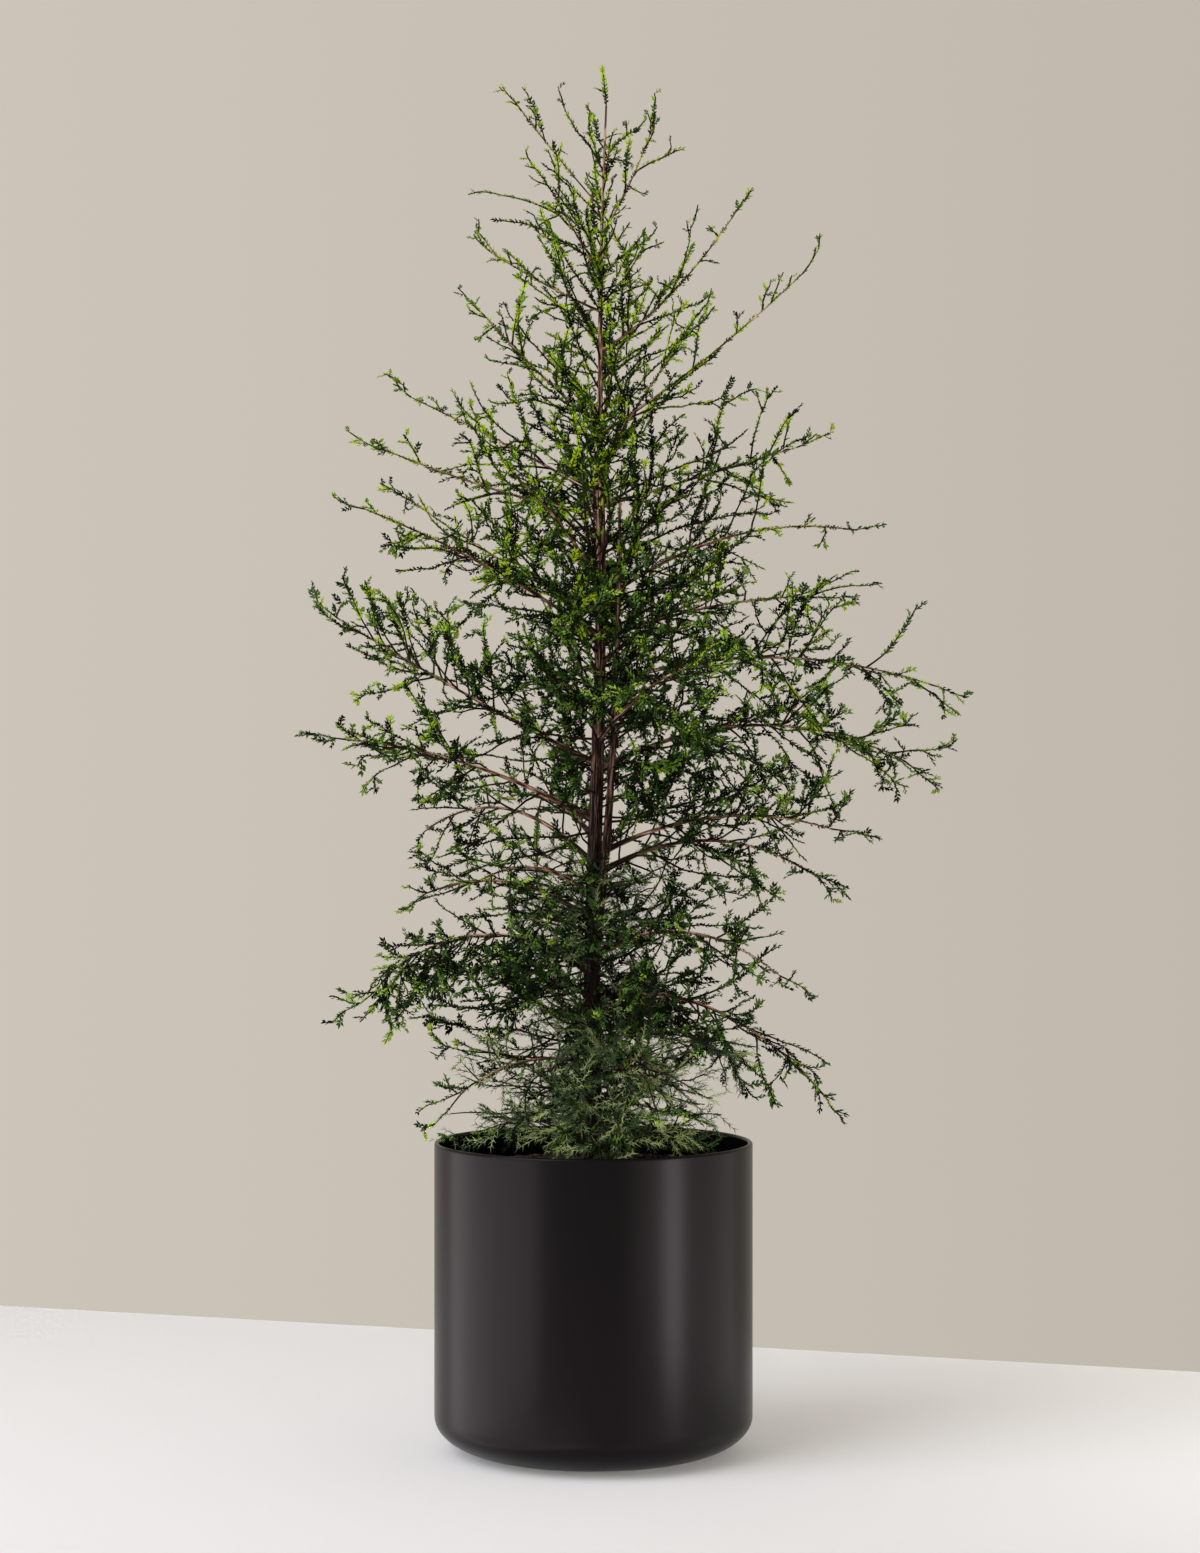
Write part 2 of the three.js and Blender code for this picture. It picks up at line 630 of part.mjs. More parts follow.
const plant = new THREE.Group();
plant.add(namedMesh("pot", turned(potProfile()), MATERIALS.planter));
plant.add(namedMesh("soil", turned(soilProfile()), MATERIALS.soil));
plant.add(namedMesh("trunk", trunkGeometry(), MATERIALS.bark));
for (const limb of limbs) {
  if (limb.bare > 0) plant.add(namedMesh(limb.name + "_bough", geometryOf(boughSolid(limb)), MATERIALS.bark));
  const mass = limb.atTop ? massSolid(limb) : massSolid(limb).subtract(grownTrunk);
  plant.add(namedMesh(limb.name + "_foliage", geometryOf(mass), MATERIALS.foliage));
}

export default plant;
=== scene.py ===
# %% [markdown]
# # A potted eastern red cedar
#
# A young red cedar, 1.73 m high with its planter, stands in a round pot of matt charcoal plastic, 40 cm
# across. Its crown is open and ascending: bare reddish limbs leave one nearly straight trunk, part into
# thin twigs, and end in tufts of scale leaves, bright at the tips and dark inside. A thinner second stem
# stands close beside the trunk. Low down and near the trunk, much of the foliage is still juvenile and
# bears needles.
#
# The solids of the plan give the planter, the trunk, the boughs and coarse masses of foliage. This lesson
# dresses each of them in the same place and size: the masses by grown twigs and leaves, the trunk and
# boughs by fibrous bark, and the planter and its filling by smoother shapes of the same profile.

import json
import math
import random

import bpy
import numpy as np
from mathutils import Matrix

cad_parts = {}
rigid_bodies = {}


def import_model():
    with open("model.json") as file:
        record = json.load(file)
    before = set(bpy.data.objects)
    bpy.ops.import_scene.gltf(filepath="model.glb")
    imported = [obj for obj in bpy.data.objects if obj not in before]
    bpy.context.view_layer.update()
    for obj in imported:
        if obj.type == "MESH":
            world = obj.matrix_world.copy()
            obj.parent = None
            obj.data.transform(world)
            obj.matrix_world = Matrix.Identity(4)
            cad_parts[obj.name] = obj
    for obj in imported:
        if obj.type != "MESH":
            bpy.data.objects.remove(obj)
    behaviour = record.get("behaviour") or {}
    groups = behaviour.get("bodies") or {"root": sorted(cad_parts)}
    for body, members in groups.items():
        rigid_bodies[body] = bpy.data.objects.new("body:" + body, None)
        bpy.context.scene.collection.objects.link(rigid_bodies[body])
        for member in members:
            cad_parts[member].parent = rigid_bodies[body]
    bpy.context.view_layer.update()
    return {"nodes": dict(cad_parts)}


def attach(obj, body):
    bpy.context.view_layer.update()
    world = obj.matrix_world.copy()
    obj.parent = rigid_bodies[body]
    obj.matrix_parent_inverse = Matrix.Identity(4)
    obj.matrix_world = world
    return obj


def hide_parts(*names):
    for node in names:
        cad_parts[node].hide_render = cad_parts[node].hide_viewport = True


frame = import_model()

# %% [markdown]
# ## Tools for the whole lesson
#
# Sizes of the plant are given in millimetres, as a nursery would give them, and become metres where a mesh
# or a material takes them. Colours are given as they look on a screen, in hex, and one function turns them
# into the linear values that the renderer's sockets take. Another adds a node to any tree, with its
# settings and what goes into it, so that a node tree reads as a list of its nodes.

# %% Millimetres, colours and nodes
MM = 0.001  # in metres
METRE = 1000  # in millimetres
WHOLE_TURN = 6.28  # in radians, near enough for a lot


def linear(hex_colour):
    """Linear RGBA of an sRGB hex colour."""
    parts = [int(hex_colour[i : i + 2], 16) / 255 for i in (1, 3, 5)]
    return [c / 12.92 if c <= 0.04045 else ((c + 0.055) / 1.055) ** 2.4 for c in parts] + [1.0]


def add_node(tree, kind, settings=None, inputs=None):
    """A new node. settings are its own properties. An input is a value, or the output that feeds it."""
    node = tree.nodes.new(kind)
    for name, value in (settings or {}).items():
        setattr(node, name, value)
    for name, value in (inputs or {}).items():
        if isinstance(value, bpy.types.NodeSocket):
            tree.links.new(value, node.inputs[name])
        else:
            node.inputs[name].default_value = value
    return node


# %% [markdown]
# ## The camera
#
# The photograph looks at the plant level, from about four metres in front, so that the planter's rim is
# seen just from above. The camera's height, distance and lens were worked out from the rim's ellipse and
# the planter's width.

# %% Camera
camera = bpy.data.objects.new("camera", bpy.data.cameras.new("camera"))
camera.data.lens = 77.4
camera.data.sensor_width = 36
camera.location = (0.0082, -4.2, 0.8466)
camera.rotation_euler = (math.radians(90), 0, 0)
bpy.context.scene.collection.objects.link(camera)
bpy.context.scene.camera = camera
print("camera:", round(camera.data.lens, 1), "mm lens at", [round(v, 3) for v in camera.location])

# %% [markdown]
# ## Finishes
#
# Each finish starts from what the real material is. Plastic, bark, compost and leaves aren't metals, so
# all keep metallic at nought, and differ in colour, roughness and relief. A finish has one shader, whose
# colour and bump may come from a pattern. The patterns are scaled from real sizes: a noise texture of
# scale s has blobs about 1/s metres wide.

# %% A finish and its shader
def finish(name, colour, roughness, ior=1.5, **sockets):
    """A new material with a plain colour. Returns it with its tree and its shader."""
    material = bpy.data.materials.new(name)
    material.use_nodes = True
    shader = material.node_tree.nodes["Principled BSDF"]
    shader.inputs["Base Color"].default_value = linear(colour)
    shader.inputs["Roughness"].default_value = roughness
    shader.inputs["IOR"].default_value = ior
    for socket, value in sockets.items():
        shader.inputs[socket.replace("_", " ")].default_value = value
    material.diffuse_color = linear(colour)
    return material, material.node_tree, shader


def set_stops(ramp, stops):
    """Gives a colour ramp its stops, each (place from 0 to 1, hex colour), and returns its colour."""
    elements = ramp.color_ramp.elements
    for element, (place, colour) in zip(list(elements), (stops[0], stops[-1])):
        element.position = place
        element.color = linear(colour)
    for place, colour in stops[1:-1]:
        elements.new(place).color = linear(colour)
    return ramp.outputs["Color"]


# %% [markdown]
# The planter is rotationally moulded polypropylene with a matt, faintly grained skin. To the eye it is
# near black, with broad soft bands where the windows of the studio reflect, and no sharp glint.
#
# Its grain is a noise that seems to lift the surface, by a twentieth of a millimetre at most.

# %% The planter's finish
GRAIN_WIDTH = 1.2  # coarser than life, because finer would not show
GRAIN_DEPTH = 0.05

matt_plastic, plastic_tree, plastic_shader = finish(
    "moulded_matt_polypropylene", "#060405", 0.3, ior=1.49, Specular_IOR_Level=0.12
)
plastic_place = add_node(plastic_tree, "ShaderNodeTexCoord").outputs["Object"]
grain = add_node(
    plastic_tree, "ShaderNodeTexNoise", inputs={"Vector": plastic_place, "Scale": METRE / GRAIN_WIDTH}
)
plastic_relief = add_node(
    plastic_tree,
    "ShaderNodeBump",
    inputs={"Height": grain.outputs["Fac"], "Distance": GRAIN_DEPTH * MM, "Strength": 0.25},
)
plastic_tree.links.new(plastic_relief.outputs["Normal"], plastic_shader.inputs["Normal"])

# %% [markdown]
# The filling is bark-based potting compost: dark, crumbly and without gloss, with chips of bark in it. One
# noise tints it in patches, a finer one lifts its crumbs, and the chips are tinted by a coarse one, so
# that neighbours differ.

# %% The filling's finishes
PATCH_WIDTH = 9
CRUMB_WIDTH = 4
CRUMB_DEPTH = 2.0
CHIP_PATCH_WIDTH = 14

compost, compost_tree, compost_shader = finish("bark_potting_compost", "#2c2019", 1.0)
compost_place = add_node(compost_tree, "ShaderNodeTexCoord").outputs["Object"]
patches = add_node(
    compost_tree,
    "ShaderNodeTexNoise",
    inputs={"Vector": compost_place, "Scale": METRE / PATCH_WIDTH, "Detail": 4},
)
compost_ramp = add_node(compost_tree, "ShaderNodeValToRGB", inputs={"Fac": patches.outputs["Fac"]})
compost_tint = set_stops(compost_ramp, [(0.32, "#120d0a"), (0.5, "#2a1e16"), (0.7, "#4a3626")])
compost_tree.links.new(compost_tint, compost_shader.inputs["Base Color"])
crumbs = add_node(
    compost_tree,
    "ShaderNodeTexNoise",
    inputs={"Vector": compost_place, "Scale": METRE / CRUMB_WIDTH, "Detail": 3},
)
compost_relief = add_node(
    compost_tree,
    "ShaderNodeBump",
    inputs={"Height": crumbs.outputs["Fac"], "Distance": CRUMB_DEPTH * MM, "Strength": 0.8},
)
compost_tree.links.new(compost_relief.outputs["Normal"], compost_shader.inputs["Normal"])

chip_bark, chip_tree, chip_shader = finish("composted_bark_chip", "#3a281c", 0.95)
chip_place = add_node(chip_tree, "ShaderNodeTexCoord").outputs["Object"]
chip_patches = add_node(
    chip_tree, "ShaderNodeTexNoise", inputs={"Vector": chip_place, "Scale": METRE / CHIP_PATCH_WIDTH}
)
chip_ramp = add_node(chip_tree, "ShaderNodeValToRGB", inputs={"Fac": chip_patches.outputs["Fac"]})
chip_tint = set_stops(chip_ramp, [(0.35, "#1d140f"), (0.55, "#35251a"), (0.75, "#5c432f")])
chip_tree.links.new(chip_tint, chip_shader.inputs["Base Color"])

# %% [markdown]
# Red cedar bark is thin and fibrous. It peels in long narrow strips, grey to pinkish tan where the light
# has bleached it, and deep red brown in the furrows between. The strips run along each limb, so the
# pattern follows an attribute of the mesh, bark_run, which holds a point's way round and along its limb
# in millimetres, and not its place in the room.
#
# One-year twigs are smooth, thin and red brown. The youngest ones are clothed in tiny scale leaves that
# lie flat on them, so that they look like green cords.

# %% The bark's strips
STRIPS_PER_MM = 0.42

fibrous_bark, bark_tree, bark_shader = finish(
    "fibrous_red_cedar_bark", "#5f3f30", 0.85, Specular_IOR_Level=0.2
)
bark_run = add_node(bark_tree, "ShaderNodeAttribute", {"attribute_name": "bark_run"}).outputs["Vector"]
strips = add_node(
    bark_tree,
    "ShaderNodeTexNoise",
    inputs={"Vector": bark_run, "Scale": STRIPS_PER_MM, "Detail": 3.0, "Roughness": 0.6},
)
strip_ramp = add_node(bark_tree, "ShaderNodeValToRGB", inputs={"Fac": strips.outputs["Fac"]})
strip_tint = set_stops(
    strip_ramp, [(0.37, "#0d0806"), (0.46, "#40291e"), (0.54, "#8d604b"), (0.62, "#dcb49f")]
)

# %% The bark's painted shade, and the finishes of twigs
# The bark is painted darker low on the trunk and close to its axis: painted shade, where the crown's own
# shade falls. Its top and the limbs, which reach out into the light, are not darkened. These are heights,
# and distances from the axis, in metres.
SHADED_BELOW = 0.75
FULLY_LIT_ABOVE = 1.2
SHADED_WITHIN = 0.015
FULLY_LIT_BEYOND = 0.07

object_place = add_node(bark_tree, "ShaderNodeTexCoord").outputs["Object"]
bark_place = add_node(bark_tree, "ShaderNodeSeparateXYZ", inputs={"Vector": object_place})
flat_place = add_node(
    bark_tree, "ShaderNodeCombineXYZ", inputs={"X": bark_place.outputs["X"], "Y": bark_place.outputs["Y"]}
)
out_from_axis = add_node(
    bark_tree, "ShaderNodeVectorMath", {"operation": "LENGTH"}, {0: flat_place.outputs[0]}
)
by_height, by_reach = (
    add_node(
        bark_tree, "ShaderNodeMapRange", inputs={"Value": value, "From Min": shaded, "From Max": bleached}
    )
    for value, shaded, bleached in (
        (bark_place.outputs["Z"], SHADED_BELOW, FULLY_LIT_ABOVE),
        (out_from_axis.outputs["Value"], SHADED_WITHIN, FULLY_LIT_BEYOND),
    )
)
lightest = add_node(
    bark_tree,
    "ShaderNodeMath",
    {"operation": "MAXIMUM"},
    {0: by_height.outputs["Result"], 1: by_reach.outputs["Result"]},
)
# Painted shade: the strips' colour is multiplied by a grey, low on the trunk and close to its axis
painted_shade_ramp = add_node(bark_tree, "ShaderNodeValToRGB", inputs={"Fac": lightest.outputs[0]})
painted_shade = set_stops(painted_shade_ramp, [(0.0, "#4c4542"), (1.0, "#ffffff")])
bark_with_painted_shade = add_node(
    bark_tree, "ShaderNodeVectorMath", {"operation": "MULTIPLY"}, {0: strip_tint, 1: painted_shade}
)
bark_tree.links.new(bark_with_painted_shade.outputs[0], bark_shader.inputs["Base Color"])

twig_bark, _, _ = finish("smooth_one_year_twig_bark", "#2a1a10", 0.6, Specular_IOR_Level=0.1)
green_twig, _, _ = finish("scale_clothed_green_twig", "#0e1406", 0.6, Specular_IOR_Level=0.1)

# %% [markdown]
# Scale leaves are waxy, opaque and not very glossy. Fresh growth at the tips is a bright yellow green and
# older growth tends to be darker, so each spray takes one of a few plain colours. The same colours are also
# painted light and painted shade: the brightest ones stand for sprays in the light, the deep and shaded
# ones for sprays in shade. In the lower crown most of the lighter greens are cooler, with less yellow in
# them. The juvenile needles are a greyer green, pale or deep, as if more or less wax covered them.

# %% Leaf finishes
# The brighter tints are also painted light, and deep and shaded are also painted shade
LEAF_TINTS = {
    "fresh": "#a3c014",
    "light": "#6b8e12",
    "green": "#41620c",
    "deep": "#1f370d",
    "shaded": "#0b1304",
}
COOL_TINTS = {"cool_fresh": "#96b63c", "cool_light": "#658730", "cool_green": "#3e5e22"}
NEEDLE_TINTS = {"needle_light": "#9cab70", "needle_deep": "#475a3b"}
LEAF_FINISHES = {
    name: finish(name + "_cedar_leaf", colour, 0.6, ior=1.4, Specular_IOR_Level=0.08)[0]
    for name, colour in {**LEAF_TINTS, **NEEDLE_TINTS, **COOL_TINTS}.items()
}
print("finishes:", sorted(material.name for material in bpy.data.materials))


# %% [markdown]
# ## Meshes from points and faces
#
# Every finished piece is one plain mesh, whose object stays at the origin, unturned. One function makes
# the object, and another hands it over: it rides on the plant's one body and takes the place of its solids.

# %% Making and handing over a piece
def mesh_object(name, points_mm, faces, material=None, smooth=False):
    """An object from points in millimetres and faces."""
    mesh = bpy.data.meshes.new(name)
    mesh.from_pydata([tuple(p) for p in np.asarray(points_mm) * MM], [], faces)
    if smooth:
        mesh.shade_smooth()
    if material:
        mesh.materials.append(material)
    made = bpy.data.objects.new(name, mesh)
    bpy.context.scene.collection.objects.link(made)
    return made


def triangles(piece):
    return sum(len(face.vertices) - 2 for face in piece.data.polygons)


def hand_over(piece, nodes):
    """The piece stands for these solids, and moves with the plant."""
    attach(piece, "root")
    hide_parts(*nodes)
    print(f"{piece.name}: {triangles(piece)} triangles, for {len(nodes)} solids")


# %% [markdown]
# ## The planter
#
# The pot is a shell turned about its axis: a flat underside, a foot that draws in by 80 mm over 45 mm of
# height, a plumb wall 6 mm thick and a rounded lip. Turning a profile gives exactly that, and 144 steps
# round keep its outline smooth. The profile is the plan's own, with more points on its curves.

# %% Sizes of the planter
POT_RADIUS = 200
POT_HEIGHT = 388
POT_WALL = 6
POT_FLOOR = 12
POT_SIDES = 144
FOOT_WIDTH = 80
FOOT_RISE = 45
INNER_FOOT_RISE = FOOT_RISE + POT_FLOOR - POT_WALL


def quarter(centre, radii, start, steps):
    """Points of a quarter of an ellipse, from the start angle in degrees on, turning left."""
    turns = [math.radians(start + 90 * i / steps) for i in range(steps + 1)]
    return [(centre[0] + radii[0] * math.cos(t), centre[1] + radii[1] * math.sin(t)) for t in turns]


def turned_mesh(name, profile, sides, material):
    """Turns a profile of (radius, height) about the Z axis. Its ends lie on the axis."""
    points, faces = [(0, 0, profile[0][1])], []
    for radius, height in profile[1:-1]:
        for side in range(sides):
            turn = 2 * math.pi * side / sides
            points.append((radius * math.cos(turn), radius * math.sin(turn), height))
    points.append((0, 0, profile[-1][1]))
    rings = len(profile) - 2
    for side in range(sides):
        after = (side + 1) % sides
        faces.append((0, 1 + after, 1 + side))
        for ring in range(rings - 1):
            a, b = 1 + ring * sides, 1 + (ring + 1) * sides
            faces.append((a + side, a + after, b + after, b + side))
        last = 1 + (rings - 1) * sides
        faces.append((last + side, last + after, len(points) - 1))
    return mesh_object(name, points, faces, material, smooth=True)


# %% Turning the pot
outer_foot = quarter((POT_RADIUS - FOOT_WIDTH, FOOT_RISE), (FOOT_WIDTH, FOOT_RISE), 270, 16)
lip = POT_WALL / 2
outer_lip = quarter((POT_RADIUS - lip, POT_HEIGHT - lip), (lip, lip), 0, 5)
inner_lip = quarter((POT_RADIUS - lip, POT_HEIGHT - lip), (lip, lip), 90, 5)
inner_foot = quarter(
    (POT_RADIUS - FOOT_WIDTH, INNER_FOOT_RISE),
    (FOOT_WIDTH - POT_WALL, FOOT_RISE - POT_WALL),
    270,
    8,
)[::-1]
# Two rings close together, under the lip and above the foot, keep the plumb wall's shading flat
wall_rings = [(POT_RADIUS, FOOT_RISE + 3), (POT_RADIUS, 200), (POT_RADIUS, POT_HEIGHT - lip - 2)]
inner_rings = [(POT_RADIUS - POT_WALL, POT_HEIGHT - lip - 2), (POT_RADIUS - POT_WALL, FOOT_RISE + 12)]
pot_profile = [
    (0, 0),
    (POT_RADIUS - FOOT_WIDTH - 4, 0),
    *outer_foot,
    *wall_rings,
    *outer_lip,
    *inner_lip[1:],
    *inner_rings,
    *inner_foot,
    (0, POT_FLOOR),
]
pot = turned_mesh("planter", pot_profile, POT_SIDES, matt_plastic)
hand_over(pot, ["pot"])

# %% [markdown]
# ## The filling
#
# Compost fills the pot to 40 mm under its lip and rises a little towards the trunk. Its body is turned like
# the pot, the points of its top are moved up or down at random, and chips of bark lie on it. Geometry
# Nodes scatter those: points are dealt over the top, an irregular chip is set on each, turned and sized
# at random, and all are made real.

# %% The compost's body
SOIL_EDGE = 348
SOIL_CREST = 366
SOIL_FLAT = 34  # radius of the level patch round the trunk
SEAT = 0.3  # clearance between the compost and the pot, and under the trunk
SOIL_SIDES = 96
SURFACE_FROM = 340 * MM  # what lies higher belongs to the compost's top
LUMPS = (-2.2, 0.8)


def soil_height(radius):
    """Height of the compost at a distance from the trunk."""
    wall = POT_RADIUS - POT_WALL - SEAT
    shoulder = (wall + SOIL_FLAT) / 2
    middle = (SOIL_EDGE + SOIL_CREST) / 2 + 3
    return float(np.interp(radius, [SOIL_FLAT, shoulder, wall], [SOIL_CREST, middle, SOIL_EDGE]))


soil_wall = POT_WALL + SEAT
soil_foot = quarter(
    (POT_RADIUS - FOOT_WIDTH, INNER_FOOT_RISE),
    (FOOT_WIDTH - soil_wall, FOOT_RISE - soil_wall),
    270,
    6,
)
soil_top = [(radius, soil_height(radius)) for radius in np.linspace(POT_RADIUS - soil_wall, 14, 26)]
soil_profile = [(0, POT_FLOOR + SEAT), *soil_foot, *soil_top, (0, SOIL_CREST)]
soil = turned_mesh("potting_compost", soil_profile, SOIL_SIDES, compost)
dice = random.Random(7)
for vertex in soil.data.vertices:
    if vertex.co.z > SURFACE_FROM and math.hypot(vertex.co.x, vertex.co.y) > 20 * MM:
        vertex.co.z += dice.uniform(*LUMPS) * MM
hand_over(soil, ["soil"])


# %% A node tree that scatters, and one way to run any tree
def new_tree(name, sockets):
    """A geometry tree with named inputs. Returns the tree and its input node."""
    tree = bpy.data.node_groups.new(name, "GeometryNodeTree")
    tree.interface.new_socket("Geometry", in_out="INPUT", socket_type="NodeSocketGeometry")
    for socket, kind in sockets.items():
        tree.interface.new_socket(socket, in_out="INPUT", socket_type="NodeSocket" + kind)
    tree.interface.new_socket("Geometry", in_out="OUTPUT", socket_type="NodeSocketGeometry")
    return tree, add_node(tree, "NodeGroupInput").outputs


def end_tree(tree, geometry, material):
    """Makes the instances real, gives them their material and ends the tree."""
    real = add_node(tree, "GeometryNodeRealizeInstances", inputs={"Geometry": geometry})
    painted = add_node(
        tree,
        "GeometryNodeSetMaterial",
        inputs={"Geometry": real.outputs["Geometry"], "Material": material},
    )
    add_node(tree, "NodeGroupOutput", inputs={"Geometry": painted.outputs["Geometry"]})


def grow(name, source, tree, values):
    """What a tree makes of a source object, as a plain mesh of its own. The source goes."""
    modifier = source.modifiers.new("growth", "NODES")
    modifier.node_group = tree
    for item in tree.interface.items_tree:
        if item.in_out == "INPUT" and item.name in values:
            modifier[item.identifier] = values[item.name]
    evaluated = source.evaluated_get(bpy.context.evaluated_depsgraph_get())
    mesh = bpy.data.meshes.new_from_object(evaluated)
    mesh.name = name
    source.modifiers.remove(modifier)
    bpy.data.objects.remove(source)
    grown = bpy.data.objects.new(name, mesh)
    bpy.context.scene.collection.objects.link(grown)
    return grown


def shapes_on_loan(name, shapes):
    """A collection of shapes outside the scene, for a tree to set out."""
    collection = bpy.data.collections.new(name)
    for shape in shapes:
        bpy.context.scene.collection.objects.unlink(shape)
        collection.objects.link(shape)
    return collection


# %% A chip of bark
CHIP_UNEVENNESS = 0.09  # how far a corner may be moved, as a share of the chip's length


def chip_shape(seed):
    """An irregular six-cornered chip, about 1 m long until it is sized."""
    dice = random.Random(seed)
    corners = [(-0.5, 0, 0), (0.5, 0, 0), (0, 0.3, 0.02), (0, -0.3, 0), (0.08, 0, 0.12), (-0.05, 0, -0.12)]
    most = CHIP_UNEVENNESS
    moved = [[METRE * (c + dice.uniform(-most, most)) for c in corner] for corner in corners]
    faces = [(0, 3, 4), (3, 1, 4), (1, 2, 4), (2, 0, 4), (3, 0, 5), (1, 3, 5), (2, 1, 5), (0, 2, 5)]
    return mesh_object(f"chip_{seed}", moved, faces)


# %% The tree that scatters chips
scatter, scatter_in = new_tree(
    "chips_on_compost",
    {
        "Chips": "Collection",
        "Per square metre": "Float",
        "Longest": "Float",
        "Seed": "Int",
        "Finish": "Material",
    },
)
spots = add_node(
    scatter,
    "GeometryNodeDistributePointsOnFaces",
    inputs={
        "Mesh": scatter_in["Geometry"],
        "Density": scatter_in["Per square metre"],
        "Seed": scatter_in["Seed"],
    },
)
chips_in = add_node(
    scatter,
    "GeometryNodeCollectionInfo",
    inputs={"Collection": scatter_in["Chips"], "Separate Children": True, "Reset Children": True},
)
chip_turn = add_node(
    scatter,
    "FunctionNodeRandomValue",
    {"data_type": "FLOAT_VECTOR"},
    {0: (-0.5, -0.5, 0.0), 1: (0.5, 0.5, WHOLE_TURN), "Seed": scatter_in["Seed"]},
)
chip_length = add_node(
    scatter,
    "FunctionNodeRandomValue",
    {"data_type": "FLOAT"},
    {2: 0.35, 3: 1.0, "Seed": scatter_in["Seed"]},
)
chip_size = add_node(
    scatter,
    "ShaderNodeMath",
    {"operation": "MULTIPLY"},
    {0: chip_length.outputs[1], 1: scatter_in["Longest"]},
)
set_out = add_node(
    scatter,
    "GeometryNodeInstanceOnPoints",
    inputs={
        "Points": spots.outputs["Points"],
        "Instance": chips_in.outputs[0],
        "Pick Instance": True,
        "Rotation": chip_turn.outputs[0],
        "Scale": chip_size.outputs[0],
    },
)
end_tree(scatter, set_out.outputs["Instances"], scatter_in["Finish"])

# %% Scattering the chips on the compost
CHIP_KINDS = 5
CHIPS_PER_SQUARE_METRE = 12000.0
LONGEST_CHIP = 17
SHEET_SIDES = 48

top_rings = [(radius, soil_height(radius)) for radius in np.linspace(POT_RADIUS - 14, 20, 12)]
sheet_profile = [(0, SOIL_CREST), *top_rings[::-1], (0, 300)]
top_sheet = turned_mesh("top_of_compost", sheet_profile, SHEET_SIDES, compost)
# The sheet closes under the compost, and only its upper rings carry chips
sheet_faces = [tuple(face.vertices) for face in top_sheet.data.polygons if face.center.z > SURFACE_FROM]
sheet_points = [np.array(vertex.co) / MM for vertex in top_sheet.data.vertices]
bpy.data.objects.remove(top_sheet)
top_sheet = mesh_object("top_of_compost", sheet_points, sheet_faces)
chip_values = {
    "Chips": shapes_on_loan("chip_shapes", [chip_shape(seed) for seed in range(CHIP_KINDS)]),
    "Per square metre": CHIPS_PER_SQUARE_METRE,
    "Longest": LONGEST_CHIP * MM,
    "Seed": 5,
    "Finish": chip_bark,
}
chips = grow("bark_chips", top_sheet, scatter, chip_values)
hand_over(chips, ["soil"])

# %% [markdown]
# ## The rule of growth
#
# The plan grows the tree by a rule, and the lesson writes the same rule again, so that every limb and
# twig starts and ends where the plan has it. The trunk leans and sways a little and tapers from its root
# flare to its tip. A limb leaves it at a height and a bearing, reaches out, climbs and bows. Each limb
# has its own run of random numbers, the same on every machine.

# %% Random numbers and curves
def seeded(seed):
    """The same run of numbers for the same seed, each from 0 to 1."""
    state = [seed]

    def draw():
        state[0] = (state[0] + 0x6D2B79F5) & 0xFFFFFFFF
        now = state[0]
        mixed = ((now ^ (now >> 15)) * (now | 1)) & 0xFFFFFFFF
        mixed ^= (mixed + (mixed ^ (mixed >> 7)) * (mixed | 61)) & 0xFFFFFFFF
        return ((mixed ^ (mixed >> 14)) & 0xFFFFFFFF) / 4294967296

    return draw


def between(a, b, share):
    return a + (b - a) * share


def unit(vector):
    return vector / np.linalg.norm(vector)


def curve(start, bend, end):
    """A curve from start to end that bends towards a third point. It takes a share from 0 to 1."""
    start, bend, end = (np.array(p, float) for p in (start, bend, end))
    return lambda s: (1 - s) ** 2 * start + 2 * s * (1 - s) * bend + s * s * end


def direction_at(path, share):
    return unit(path(min(1, share + 0.02)) - path(max(0, share - 0.02)))


# %% The trunk's centre and radius
TRUNK_FOOT = SOIL_CREST + SEAT
TRUNK_TOP = 1690
TRUNK_RADIUS = 12.5
TRUNK_TIP_RADIUS = 1.8
TRUNK_TAPER = 1.1
FLARE = 10
FLARE_RISE = 24
TRUNK_LEAN = 16
TRUNK_SWAY = 3
TREE_TOP = (-20, -4, 1732)


def trunk_centre(z):
    share = max(0, (z - TRUNK_FOOT) / (TRUNK_TOP - TRUNK_FOOT))
    sway = TRUNK_SWAY * math.sin(3 * math.pi * share)
    return np.array([TRUNK_LEAN * share**1.5 - sway, sway, z])


def trunk_radius(z):
    share = (z - TRUNK_FOOT) / (TRUNK_TOP - TRUNK_FOOT)
    taper = (TRUNK_RADIUS - TRUNK_TIP_RADIUS) * max(0, 1 - share) ** TRUNK_TAPER
    return TRUNK_TIP_RADIUS + taper + FLARE * math.exp(-(z - TRUNK_FOOT) / FLARE_RISE)


